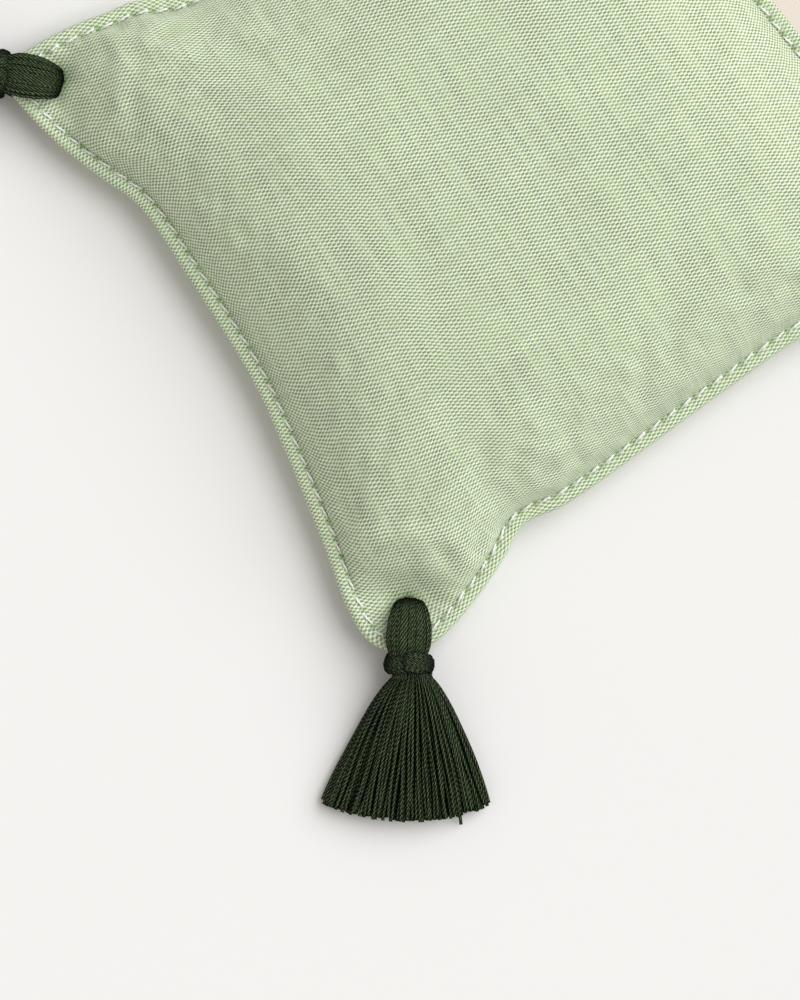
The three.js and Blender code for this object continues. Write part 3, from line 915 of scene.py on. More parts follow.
def panel_mesh(name, grid, side, cover, stitches):
    """A closed shell of cloth for one panel: bulging sheet, sewn edge, folded lip and lining."""
    outer, flat, ring, holes = dressed_sheet(grid, side, cover, stitches)
    cells = len(outer) - 1
    loop = rim(cells)
    count = (cells + 1) ** 2
    inner = outer - grid_normals(outer) * side * cover.cloth / MM
    points = [outer.reshape(-1, 3), inner.reshape(-1, 3)]
    places = [flat.reshape(-1, 2), flat.reshape(-1, 2)]
    holes = [holes.ravel(), np.zeros(count)]
    phase = ring.run[:-1] * math.tau * stitch_count(stitches, ring) / ring.run[-1]
    outward = np.sign(np.where(np.abs(np.abs(flat.reshape(-1, 2)[loop]) - np.abs(flat).max()) < 1e-6,
                               flat.reshape(-1, 2)[loop], 0.0))
    parting = label_parting(ring.edge) * LABEL_PARTING
    loops = [loop]
    quads = grid_quads(cells)
    wave = sum(size * np.sin(ring.run[:-1] * rate + start) for size, rate, start in EDGE_WAVES)
    run, last = 0.0, (0.0, SEAM_SHARE)
    for share, rise in EDGE_TOP + EDGE_UNDER:
        run += math.hypot((share - last[0]) * SEAM_SETBACK, (rise - last[1]) * EDGE_HALF)
        last = share, rise
        plan = ring.seam + (ring.edge - ring.seam) * share
        thickness = EDGE_HALF * rise + parting * (1.0 - rise) + wave * rise * share
        start = sum(len(part) for part in points)
        points.append(np.column_stack([plan, ring.height + side * thickness]))
        places.append(flat.reshape(-1, 2)[loop] + outward * run)
        holes.append(needle_holes(-share * SEAM_SETBACK, phase, stitches))
        loops.append(np.arange(start, start + len(loop)))
    loops.append(loop + count)
    points = np.concatenate(points)
    places = np.concatenate(places)
    centres = points[quads].mean(1)
    # Painted shade: how much of the dark green shade of the needle holes and loop holes each point takes.
    drawn = np.concatenate(holes)
    opened = np.zeros(len(quads), bool)
    rims = []
    for hole in hole_places():
        beyond = np.linalg.norm(points[:count, :2] - hole, axis=1) - cover.hole / MM
        # Painted shade round each loop's hole, where the cloth dips into it.
        near = HOLE_SHADE_SHARE * np.exp(-(np.maximum(beyond, 0.0) / DRAWN_REACH) ** 2)
        drawn[:count] = np.maximum(drawn[:count], near)
        inside = np.linalg.norm(centres[:, :2] - hole, axis=1) < cover.hole / MM
        opened |= inside
        rims.append(hole_rim(quads[inside], points, hole, cover.hole / MM, count))
    faces = [quads[~opened], quads[~opened][:, ::-1] + count]
    faces += [band_quads(near, far) for near, far in zip(loops, loops[1:])]
    faces += rims
    faces = np.concatenate(faces)
    if side < 0:
        faces = faces[:, ::-1]
    mesh = bpy.data.meshes.new(name)
    mesh.from_pydata(points * MM, [], faces)
    uv = mesh.uv_layers.new(name="flat_cloth")
    corners = np.zeros(len(mesh.loops), int)
    mesh.loops.foreach_get("vertex_index", corners)
    uv.data.foreach_set("uv", (places[corners] * MM / cover.flat_size + 0.5).ravel())
    mesh.attributes.new("needle_hole", "FLOAT", "POINT").data.foreach_set("value", drawn)
    return mesh


def open_edges(quads):
    """Edges that only one of the quads has, in the direction of its turn."""
    edges = np.concatenate([quads[:, [k, (k + 1) % 4]] for k in range(4)])
    known = {(int(a), int(b)) for a, b in edges}
    return np.array([(a, b) for a, b in known if (b, a) not in known])


def hole_rim(opened, points, hole, radius, count):
    """Rounds the edge of an opening in both faces of a sheet and gives the quads that line it."""
    border = open_edges(opened)
    for index in np.unique(border):
        for vertex in (index, index + count):
            away = points[vertex, :2] - hole
            points[vertex, :2] = hole + away * radius / np.linalg.norm(away)
    return np.stack([border[:, 0], border[:, 1], border[:, 1] + count, border[:, 0] + count], 1)


def build_cover(scene):
    """Fills the two sewn sheets and makes panels of them, with the buds between."""
    cover, stitches = scene.sachet_cover, scene.sachet_stitches
    front, back = settled(*fill_sheets(cover))
    material = chambray_material(cover)
    for name, grid, side in (("front_panel", front, 1), ("back_panel", back, -1)):
        mesh = panel_mesh(f"{name}_cloth", grid, side, cover, stitches)
        piece = new_piece(f"{name}_cloth", mesh, material, CUSHION, "chambray", name)
    build_filling(scene.sachet_filling, front[::FINER, ::FINER], back[::FINER, ::FINER])


def geometry_tree(name, sockets):
    """A geometry node tree with named inputs: gives the tree and its input wires by name."""
    tree = bpy.data.node_groups.new(name, "GeometryNodeTree")
    tree.interface.new_socket("Geometry", in_out="OUTPUT", socket_type="NodeSocketGeometry")
    for label, kind in {"Geometry": "Geometry", **sockets, "Material": "Material"}.items():
        tree.interface.new_socket(label, in_out="INPUT", socket_type=f"NodeSocket{kind}")
    source = tree.nodes.new("NodeGroupInput")
    return tree, {socket.name: Wire(tree, socket) for socket in source.outputs if socket.name}


def close_tree(wires, geometry):
    """Ends a tree: instances made real, smooth shading, material and output."""
    real = geometry.node("GeometryNodeRealizeInstances", (), {0: geometry})
    shaded = real.node("GeometryNodeSetShadeSmooth", (), {0: real})
    finished = shaded.node("GeometryNodeSetMaterial", (), {"Geometry": shaded, "Material": wires["Material"]})
    sink = finished.tree.nodes.new("NodeGroupOutput")
    finished.tree.links.new(finished.socket, sink.inputs[0])


def grown_mesh(tree, source, values):
    """Runs a geometry tree on a mesh, with its inputs by name, and gives the result as a plain mesh."""
    holder = linked(tree.name, source)
    modifier = holder.modifiers.new(tree.name, "NODES")
    modifier.node_group = tree
    for item in tree.interface.items_tree:
        if item.in_out == "INPUT" and item.name in values:
            modifier[item.identifier] = values[item.name]
    depsgraph = bpy.context.evaluated_depsgraph_get()
    result = bpy.data.meshes.new_from_object(holder.evaluated_get(depsgraph), depsgraph=depsgraph)
    bpy.data.objects.remove(holder)
    bpy.data.meshes.remove(source)
    return result


def random_value(wire, low, high, seed, number=None):
    """A random number for each element, or for the numbers given."""
    inputs = {2: low, 3: high, 8: seed}
    if number is not None:
        inputs[7] = number
    return wire.node("FunctionNodeRandomValue", {"data_type": "FLOAT"}, inputs, output=1)


def stored(geometry, name, value, kind="FLOAT"):
    """Geometry with a named value kept on its points."""
    settings = {"data_type": kind, "domain": "POINT"}
    return geometry.node("GeometryNodeStoreNamedAttribute", settings, {0: geometry, 2: name, 3: value})


def named(wire, name, kind="FLOAT"):
    """A value kept under a name."""
    return wire.node("GeometryNodeInputNamedAttribute", {"data_type": kind}, {0: name})


def spun_thread(curves, radius, pitch, sides=6):
    """Two plies twisted along each curve, as a tube of two lobes."""
    ring = curves.node("GeometryNodeCurvePrimitiveCircle", {"mode": "RADIUS"}, {0: sides, 4: 1.0})
    place = curves.node("GeometryNodeInputPosition")
    split = curves.node("ShaderNodeSeparateXYZ", (), {0: place})
    lobe = split.out("X") * split.out("X") - split.out("Y") * split.out("Y")
    # How deep in the groove between the plies each point lies, which the thread's material uses for painted
    # shade.
    ring = stored(ring, "groove", 0.5 - lobe * 0.5)
    squeezed = scaled(place, 0.8 + lobe * 0.2)
    ring = ring.node("GeometryNodeSetPosition", (), {0: ring, "Position": squeezed})
    along = curves.node("GeometryNodeSplineParameter", output="Length")
    tilt = along / pitch * math.tau + random_value(curves, 0.0, math.tau, 1, named(curves, "strand_number"))
    turned = curves.node("GeometryNodeSetCurveTilt", (), {0: curves, "Tilt": tilt})
    inputs = {0: turned, 1: ring, "Scale": radius, "Fill Caps": True}
    return turned.node("GeometryNodeCurveToMesh", (), inputs)


def plied_yarn(curves, radius, pitch, sides=6):
    """A tube along each curve that tells its material the way round it and the turns of its plies."""
    ring = curves.node("GeometryNodeCurvePrimitiveCircle", {"mode": "RADIUS"}, {0: sides, 4: 1.0})
    ring = stored(ring, "way_round", curves.node("GeometryNodeInputPosition"), "FLOAT_VECTOR")
    along = curves.node("GeometryNodeSplineParameter", output="Length")
    turns = along / pitch + random_value(curves, 0.0, 1.0, 1, named(curves, "strand_number"))
    laid = stored(curves, "turns", turns)
    inputs = {0: laid, 1: ring, "Scale": radius, "Fill Caps": True}
    tube = laid.node("GeometryNodeCurveToMesh", (), inputs)
    # How far the tube's surface faces up or down, which the yarn's material uses for painted shade on its
    # flanks.
    normal = tube.node("GeometryNodeInputNormal")
    upward = tube.node("ShaderNodeSeparateXYZ", (), {0: normal}, output="Z").math("ABSOLUTE")
    return stored(tube, "upward", upward)


def stitch_tree():
    """Stitches along a seam: short dashes of thread, their ends drawn into the cloth."""
    sockets = {"Dash": "Float", "Thread": "Float", "Dip": "Float", "Slant": "Float",
               "Up": "Vector", "Seed": "Int"}
    tree, wires = geometry_tree("stitch_row", sockets)
    dash, dip = wires["Dash"], wires["Dip"]
    seam = dash.node("GeometryNodeMeshToCurve", (), {0: wires["Geometry"]})
    points = seam.node("GeometryNodeCurveToPoints", {"mode": "EVALUATED"}, {0: seam})
    start = vector(dash, dash * -0.5, 0.0, dip * -1.0)
    middle = vector(dash, 0.0, 0.0, dip * ARCH_RISE)
    end = vector(dash, dash * 0.5, 0.0, dip * -1.0)
    arch = dash.node("GeometryNodeCurveQuadraticBezier", (), {0: 9, 1: start, 2: middle, 3: end})
    arch = stored(arch, "strand_number", 0.0)
    thread = spun_thread(arch, wires["Thread"] * 0.5, wires["Thread"] * PLY_TURN)
    lie = {"axis": "X", "pivot_axis": "AUTO"}
    turn = points.node("FunctionNodeAlignRotationToVector", lie, {"Vector": points.out("Tangent")})
    stand = {"axis": "Z", "pivot_axis": "X"}
    turn = turn.node("FunctionNodeAlignRotationToVector", stand, {"Rotation": turn, "Vector": wires["Up"]})
    uneven = random_value(turn, -STITCH_TURN, STITCH_TURN, wires["Seed"])
    slant = vector(turn, 0.0, 0.0, wires["Slant"] + uneven)
    slant = slant.node("FunctionNodeEulerToRotation", (), {0: slant})
    local = {"rotation_space": "LOCAL"}
    turn = turn.node("FunctionNodeRotateRotation", local, {"Rotation": turn, "Rotate By": slant})
    stretch = vector(turn, random_value(turn, *STITCH_STRETCH, wires["Seed"] + 1.0), 1.0, 1.0)
    inputs = {"Points": points, "Instance": thread, "Rotation": turn, "Scale": stretch}
    close_tree(wires, points.node("GeometryNodeInstanceOnPoints", (), inputs))
    return tree


def loop_mesh(name, points):
    """A closed line of points, in millimetres."""
    count = len(points)
    mesh = bpy.data.meshes.new(name)
    mesh.from_pydata(points * MM, [(index, (index + 1) % count) for index in range(count)], [])
    return mesh


def build_stitches(scene):
    """A row of stitches on the edge's upper side and one on its underside."""
    stitches = scene.sachet_stitches
    material = thread_material(stitches)
    tree = stitch_tree()
    ring = sewn_ring(STITCH_CELLS)
    count = stitch_count(stitches, ring)
    places = np.arange(count) * ring.run[-1] / count
    rows = np.column_stack([ring.seam + (ring.edge - ring.seam) * STITCH_SHARE, ring.height])
    rows = np.concatenate([rows, rows[:1]])
    line = np.column_stack([np.interp(places, ring.run, rows[:, axis]) for axis in range(3)])
    shares, rises = zip(*EDGE_TOP)
    lift = EDGE_HALF * np.interp(STITCH_SHARE, shares, rises) + 0.5 * stitches.thread / MM
    for name, side in (("needle_thread", 1), ("bobbin_thread", -1)):
        path = loop_mesh(name, line + (0.0, 0.0, side * lift))
        values = {"Dash": stitches.dash, "Thread": stitches.thread, "Dip": STITCH_DIP * MM,
                  "Slant": stitches.slant, "Up": (0.0, 0.0, float(side)), "Seed": stitches.seed,
                  "Material": material}
        new_piece(f"{name}_stitches", grown_mesh(tree, path, values), material, CUSHION, "stitching", name)


def build_label(scene):
    """A tape folded over, its two ends caught in the edge and the fold hanging free."""
    label = scene.sachet_label
    low, high = (np.array(corner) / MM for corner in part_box("edge_label"))
    middle = (low[2] + high[2]) / 2
    reach = high[0] - low[0]
    tape = label.tape / MM
    fold = (high[2] - low[2]) / 2 - tape / 2
    steps = 28
    section = []
    for step in range(steps + 1):
        share = step / steps
        bulge = label.puff / MM * math.sin(math.pi * share)
        section.append((low[0] + (reach - fold - tape / 2) * share, fold + bulge))
    turns = 8
    for step in range(1, turns):
        angle = math.pi / 2 - math.pi * step / turns
        section.append((high[0] - fold - tape / 2 + fold * math.cos(angle), fold * math.sin(angle)))
    section += [(x, -z) for x, z in reversed(section[:steps + 1])]
    section = np.array(section)
    across = 40
    y = np.linspace(low[1], high[1], across + 1)
    out = np.clip((section[:, 0] - low[0]) / reach, 0.0, 1.0)
    sag = -label.droop / MM * out ** 2
    curl = LABEL_CURL * np.cos((y - low[1]) / (high[1] - low[1]) * math.tau)
    points = np.zeros((len(section), across + 1, 3))
    points[..., 0] = section[:, 0][:, None]
    points[..., 1] = y[None]
    points[..., 2] = middle + section[:, 1][:, None] + sag[:, None] + (out ** 2)[:, None] * curl[None]
    normals = grid_normals(points)
    flip = np.sign(normals[0, 0, 2])
    walls = [points + normals * flip * tape / 2, points - normals * flip * tape / 2]
    rows, columns = len(section), across + 1
    index = np.arange(rows * columns).reshape(rows, columns)
    quads = np.stack([index[:-1, :-1], index[1:, :-1], index[1:, 1:], index[:-1, 1:]], 2).reshape(-1, 4)
    count = rows * columns
    border = np.concatenate([index[:, 0], index[-1, 1:], index[-2::-1, -1], index[0, -2:0:-1]])
    rim_faces = np.stack([border, border + count, np.roll(border, -1) + count, np.roll(border, -1)], 1)
    faces = np.concatenate([quads, quads[:, ::-1] + count, rim_faces])
    mesh = bpy.data.meshes.new("label_tape")
    mesh.from_pydata(np.concatenate([wall.reshape(-1, 3) for wall in walls]) * MM, [], faces)
    outward_faces(mesh)
    piece = new_piece("label_tape", mesh, tape_material(label), CUSHION, "tape", "edge_label")


def outward_faces(mesh):
    """Turns a closed mesh's faces outwards."""
    shape = bmesh.new()
    shape.from_mesh(mesh)
    bmesh.ops.recalc_face_normals(shape, faces=shape.faces)
    shape.to_mesh(mesh)
    shape.free()


def tassel_places():
    """Each tassel's corner name, hole, hinge and heading, from the frame's joints."""
    for corner in CORNERS:
        off = Vector((*TASSEL_OFFSETS.get(corner.name, (0.0, 0.0)), 0.0)) * MM
        hole = Vector(JOINTS[f"{corner.name}_swing"]["pos_m"]) + off
        hinge = Vector(JOINTS[f"{corner.name}_flop"]["pos_m"]) + off
        run = hinge - hole
        yield Tassel(corner.name, hole, hinge, math.atan2(run.y, run.x))


def smooth_table(table, places):
    """Values between the rows of a table, eased at each row."""
    x = np.array([row[0] for row in table])
    y = np.array([row[1] for row in table])
    index = np.clip(np.searchsorted(x, places) - 1, 0, len(x) - 2)
    share = np.clip((places - x[index]) / (x[index + 1] - x[index]), 0.0, 1.0)
    slope = np.gradient(y, x)
    gap = x[index + 1] - x[index]
    a, b = y[index], y[index + 1]
    m0, m1 = slope[index] * gap, slope[index + 1] * gap
    cube, square = share ** 3, share ** 2
    leaving = (2 * cube - 3 * square + 1) * a + (cube - 2 * square + share) * m0
    return leaving + (3 * square - 2 * cube) * b + (cube - square) * m1


def path_mesh(name, points, spreads, rises):
    """A line of points that carries, at each point, the half width and half thickness vectors of a bundle."""
    mesh = bpy.data.meshes.new(name)
    mesh.from_pydata(points * MM, [(index, index + 1) for index in range(len(points) - 1)], [])
    for label, vectors in (("spread", spreads), ("rise", rises)):
        attribute = mesh.attributes.new(label, "FLOAT_VECTOR", "POINT")
        attribute.data.foreach_set("vector", (vectors * MM).ravel())
    return mesh


def loop_path():
    """Middle line of the loop: out of the tie, over the ear, down through the hole and back under it."""
    reach = np.linspace(LOOP_HEIGHTS[-1][0], LOOP_BEND, 26)
    over = np.column_stack([reach, np.full(len(reach), LOOP_SHIFT), smooth_table(LOOP_HEIGHTS, reach)])
    turn = np.linspace(0.0, math.pi, 22)[1:-1]
    bend = np.column_stack([LOOP_BEND - LOOP_REACH * np.sin(turn), np.full(len(turn), LOOP_SHIFT),
                            LOOP_BEND * np.cos(turn)])
    points = np.concatenate([over, bend, over[::-1] * (1, 1, -1)])
    tangent = np.gradient(points, axis=0)
    tangent /= np.linalg.norm(tangent, axis=1)[:, None]
    side = np.tile((0.0, 1.0, 0.0), (len(points), 1))
    up = np.cross(tangent, side)
    away = points[:, 0]
    spreads = side * smooth_table(LOOP_HALF_WIDTHS, away)[:, None]
    rises = up * smooth_table(LOOP_HALF_THICKNESS, away)[:, None]
    return points, spreads, rises


def tie_path():
    """Middle line of the tie: once round the neck, its last end lying over its first."""
    angle = np.radians(np.linspace(*TIE_ANGLES, 90))
    turn = np.linspace(0.0, 1.0, len(angle))
    tuck = np.exp(-turn / TIE_ENDS[0]) + np.exp((turn - 1.0) / TIE_ENDS[1])
    over = np.clip((turn - TIE_CROSSING[0]) / TIE_CROSSING[1], 0.0, 1.0)
    radius = TIE_RADIUS + TIE_OVERLAP * over - TIE_TUCK * tuck
    x = TIE_MIDDLE + TIE_SLIDE[0] - TIE_SLIDE[1] * over
    points = np.column_stack([x, radius * np.cos(angle) + TIE_SHIFT, radius * np.sin(angle)])
    radial = np.column_stack([np.zeros(len(x)), np.cos(angle), np.sin(angle)])
    side = np.tile((1.0, 0.0, 0.0), (len(x), 1))
    full = 1.0 - TIE_NARROWING * np.minimum(tuck, 1.0)[:, None]
    return points, side * TIE_HALF_HEIGHT * full, radial * TIE_HALF_THICKNESS * full


def placed(geometry, wires):
    """Geometry set at its hole and turned to its heading."""
    heading = vector(geometry, 0.0, 0.0, wires["Heading"])
    inputs = {0: geometry, "Translation": wires["Place"], "Rotation": heading}
    return geometry.node("GeometryNodeTransform", (), inputs)


def bundle_tree():
    """A bundle of spun strands laid round a path, each point of which carries the bundle's half sizes."""
    sockets = {"Strands": "Int", "Radius": "Float", "Pitch": "Float", "Bundle Twist": "Float",
               "Paleness": "Float", "Place": "Vector", "Heading": "Float", "Seed": "Int"}
    tree, wires = geometry_tree("yarn_bundle", sockets)
    path = wires["Radius"].node("GeometryNodeMeshToCurve", (), {0: wires["Geometry"]})
    inputs = {0: path, "Length": wires["Pitch"] * 0.5}
    path = path.node("GeometryNodeResampleCurve", {"mode": "LENGTH"}, inputs)
    inputs = {0: path, "Amount": wires["Strands"]}
    copies = path.node("GeometryNodeDuplicateElements", {"domain": "SPLINE"}, inputs)
    number = copies.out("Duplicate Index")
    copies = stored(copies, "strand_number", number)
    number = named(copies, "strand_number")
    seed = wires["Seed"]
    share = (number + random_value(copies, -0.22, 0.22, seed, number)) / wires["Strands"]
    along = copies.node("GeometryNodeSplineParameter", output="Factor")
    angle = (share + along * wires["Bundle Twist"]) * math.tau
    depth = random_value(copies, 0.8, 1.0, seed + 1.0, number)
    wide = scaled(named(copies, "spread", "FLOAT_VECTOR"), angle.math("COSINE") * depth)
    tall = scaled(named(copies, "rise", "FLOAT_VECTOR"), angle.math("SINE") * depth)
    offset = copies.node("ShaderNodeVectorMath", {"operation": "ADD"}, {0: wide, 1: tall})
    laid = copies.node("GeometryNodeSetPosition", (), {0: copies, "Offset": offset})
    laid = stored(laid, "strand", random_value(laid, 0.0, wires["Paleness"], seed + 2.0, number))
    yarn = plied_yarn(laid, wires["Radius"], wires["Pitch"], sides=7)
    close_tree(wires, placed(yarn, wires))
    return tree


def skirt_tree():
    """A skirt of spun strands that fan out of the tie, droop to the surface and end in a ragged arc."""
    sockets = {"Strands": "Int", "Radius": "Float", "Pitch": "Float", "Start": "Float", "Tie End": "Float",
               "Length": "Float", "Neck": "Float", "Hem Half Width": "Float", "Hem Half Thickness": "Float",
               "Drop": "Float", "Lean": "Float", "Raggedness": "Float", "Place": "Vector",
               "Heading": "Float", "Seed": "Int"}
    tree, wires = geometry_tree("yarn_skirt", sockets)
    seed = wires["Seed"]
    roots = seed.node("GeometryNodePoints", (), {"Count": wires["Strands"]})
    number = seed.node("GeometryNodeInputIndex")
    roots = stored(roots, "strand_number", number)
    line = seed.node("GeometryNodeCurvePrimitiveLine", {"mode": "POINTS"}, {"End": (1.0, 0.0, 0.0)})
    line = line.node("GeometryNodeResampleCurve", {"mode": "COUNT"}, {0: line, "Count": STRAND_POINTS})
    strands = roots.node("GeometryNodeInstanceOnPoints", (), {"Points": roots, "Instance": line})
    strands = strands.node("GeometryNodeRealizeInstances", (), {0: strands})
    number = named(strands, "strand_number")
    ring = ((number + 0.5) / wires["Strands"]).math("SQRT")
    golden = math.pi * (3.0 - math.sqrt(5.0))
    angle = number * golden
    jitter = random_value(strands, -STRAND_JITTER, STRAND_JITTER, seed, number)
    aside = ring * angle.math("COSINE")
    even = (aside.math("ARCSINE") + aside * (1.0 - aside * aside).math("SQRT")) / (math.pi / 2.0)
    aside = aside + (even - aside) * EVENNESS + jitter
    above = ring * angle.math("SINE")
    along = strands.node("GeometryNodeSplineParameter", output="Factor")
    stray = random_value(strands, 0.0, 1.0, seed + 3.0, number).math("GREATER_THAN", STRAY_ABOVE)
    ragged = random_value(strands, *HEM_RANGE, seed + 1.0, number) * wires["Raggedness"]
    ragged = ragged + stray * wires["Raggedness"] * STRAY_REACH
    hidden = wires["Tie End"] - wires["Start"]
    full = hidden + wires["Length"] * (1.0 - HEM_ARC * aside * aside - HEM_SLANT * aside) + ragged
    x = wires["Start"] + full * along
    flare = ((x - wires["Tie End"]) / wires["Length"]).math("MAXIMUM", 0.0)
    open_up = flare ** OPENING_POWER
    half_width = wires["Neck"] + (wires["Hem Half Width"] - wires["Neck"]) * open_up
    half_height = wires["Neck"] + (wires["Hem Half Thickness"] - wires["Neck"]) * flare
    phase = random_value(strands, 0.0, math.tau, seed + 2.0, number)
    waver = (along * 7.0 + phase).math("SINE") * flare * wires["Radius"] * SWAY_ASIDE
    lift = (along * 5.0 + phase * 1.7).math("SINE") * flare * wires["Radius"] * SWAY_UP
    y = aside * half_width + waver + wires["Lean"]
    sunk = flare ** SINKING_POWER * wires["Drop"]
    lowest = wires["Drop"] + wires["Hem Half Thickness"]
    spread = aside * aside * smooth(flare, 0.0, 0.5) * (lowest - sunk) * SIDES_LAID
    z = (above * half_height + lift - sunk - spread).math("MAXIMUM", lowest * -1.0)
    laid = strands.node("GeometryNodeSetPosition", (), {0: strands, "Position": vector(strands, x, y, z)})
    laid = stored(laid, "strand", random_value(laid, 0.0, 1.0, seed + 4.0, number))
    slim = NECK_SLIMNESS + (1.0 - NECK_SLIMNESS) * smooth(flare, 0.0, 0.25)
    yarn = plied_yarn(laid, wires["Radius"] * slim, wires["Pitch"])
    close_tree(wires, placed(yarn, wires))
    return tree


def build_bundles(scene, part, path, strands, strand, bundle_twist, paleness):
    """A bundle of yarn on each tassel, laid along the path of its loop or its tie."""
    tassels = scene.sachet_tassels
    material = bpy.data.materials.get(YARN) or yarn_material(tassels)
    tree = bundle_tree()
    for index, tassel in enumerate(tassel_places()):
        values = {"Strands": strands, "Radius": strand / 2, "Pitch": tassels.twist,
                  "Bundle Twist": bundle_twist, "Paleness": paleness, "Place": tassel.hole,
                  "Heading": tassel.heading, "Material": material,
                  "Seed": tassels.seed + SEED_STEP * index + SEED_SHIFTS[part]}
        mesh = grown_mesh(tree, path_mesh(f"{part}_path", *path), values)
        name = f"{tassel.name}_{part}"
        new_piece(f"{name}_yarn", mesh, material, f"{tassel.name}_head", "tassel_yarn", name)


def build_loops(scene):
    """The loops, which pass through the ears."""
    tassels = scene.sachet_tassels
    build_bundles(scene, "loop", loop_path(), tassels.loop_strands, tassels.loop_strand, 0.0,
                  LOOP_PALENESS)


def build_ties(scene):
    """The ties, wound round the necks."""
    tassels = scene.sachet_tassels
    build_bundles(scene, "tie", tie_path(), tassels.tie_strands, tassels.tie_strand, TIE_TWIST,
                  TIE_PALENESS)


def build_skirts(scene):
    """A skirt of strands on each tassel, below its tie."""
    tassels = scene.sachet_tassels
    material = bpy.data.materials.get(YARN) or yarn_material(tassels)
    tree = skirt_tree()
    for index, tassel in enumerate(tassel_places()):
        drop = tassel.hole.z - tassels.hem_half_thickness - tassels.strand / 2
        values = {"Strands": tassels.strands, "Radius": tassels.strand / 2, "Pitch": tassels.twist,
                  "Start": SKIRT_ROOT * MM, "Tie End": TIE_END * MM, "Length": tassels.skirt,
                  "Neck": tassels.neck, "Hem Half Width": tassels.hem_half_width,
                  "Hem Half Thickness": tassels.hem_half_thickness,
                  "Drop": drop, "Lean": tassels.lean, "Raggedness": tassels.raggedness, "Place": tassel.hole,
                  "Heading": tassel.heading, "Material": material,
                  "Seed": tassels.seed + SEED_STEP * index + SEED_SHIFTS["skirt"]}
        mesh = grown_mesh(tree, bpy.data.meshes.new("skirt_root"), values)
        name = f"{tassel.name}_skirt"
        piece = new_piece(f"{name}_yarn", mesh, material, None, "tassel_yarn", name)
        axis = Vector((math.cos(tassel.heading), math.sin(tassel.heading), 0.0))
        start = tassel.hole + axis * TIE_END * MM
        end = tassel.hinge + (tassel.hinge - start)
        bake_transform(piece)


def bud_tree():
    """Dried buds heaped on a surface, over a core that fills the gaps."""
    sockets = {"Bud": "Float", "Density": "Float", "Seed": "Int"}
    tree, wires = geometry_tree("bud_heap", sockets)
    core = wires["Geometry"]
    spread = {0: core, "Density": wires["Density"], "Seed": wires["Seed"]}
    points = core.node("GeometryNodeDistributePointsOnFaces", {"distribute_method": "RANDOM"}, spread)
    points = stored(points, "bud", random_value(points, 0.0, 1.0, wires["Seed"] + 1.0))
    ball = core.node("GeometryNodeMeshIcoSphere", (), {"Radius": wires["Bud"], "Subdivisions": 2})
    slim = ball.node("GeometryNodeTransform", (), {0: ball, "Scale": (0.42, 0.42, 1.0)})
    turn = {"data_type": "FLOAT_VECTOR"}
    spin = points.node("FunctionNodeRandomValue", turn, {1: (math.tau,) * 3, 8: wires["Seed"]}, output=0)
    spin = spin.node("FunctionNodeEulerToRotation", (), {0: spin})
    size = random_value(points, 0.75, 1.1, wires["Seed"] + 2.0)
    inputs = {"Points": points, "Instance": slim, "Rotation": spin, "Scale": vector(points, size, size, size)}
    buds = points.node("GeometryNodeInstanceOnPoints", (), inputs)
    join = core.tree.nodes.new("GeometryNodeJoinGeometry")
    for part in (core, buds):
        core.tree.links.new(part.socket, join.inputs[0])
    close_tree(wires, Wire(core.tree, join.outputs[0]))
    return tree


def build_filling(filling, front, back):
    """Heaps dried buds a little under the cloth of both sheets."""
    cells = len(front) - 1
    depth = filling.depth / MM
    core_front = front - grid_normals(front) * depth
    core_back = back + grid_normals(back) * depth
    thin = front[..., 2] - back[..., 2]
    keep = np.clip((thin - HEAP_START * depth) / (HEAP_RUN * depth), 0.0, 1.0)[..., None]
    middle = (core_front + core_back) / 2
    core_front = middle + (core_front - middle) * keep
    core_back = middle + (core_back - middle) * keep
    count = (cells + 1) ** 2
    quads = grid_quads(cells)
    thick = keep.reshape(-1)[quads].min(1) > HEAP_LEAST
    mesh = bpy.data.meshes.new("bud_core")
    points = np.concatenate([core_front.reshape(-1, 3), core_back.reshape(-1, 3)])
    used = quads[thick]
    border = open_edges(used)
    wall = np.stack([border[:, 1], border[:, 0], border[:, 0] + count, border[:, 1] + count], 1)
    faces = np.concatenate([used, used[:, ::-1] + count, wall])
    kept, faces = np.unique(faces, return_inverse=True)
    mesh.from_pydata(points[kept] * MM, [], faces.reshape(-1, 4))
    material = bud_material(filling)
    values = {"Bud": filling.bud, "Density": filling.density, "Seed": filling.seed, "Material": material}
    heap = grown_mesh(bud_tree(), mesh, values)
    new_piece("lavender_buds", heap, material, CUSHION, "dried_flowers", "lavender_filling")


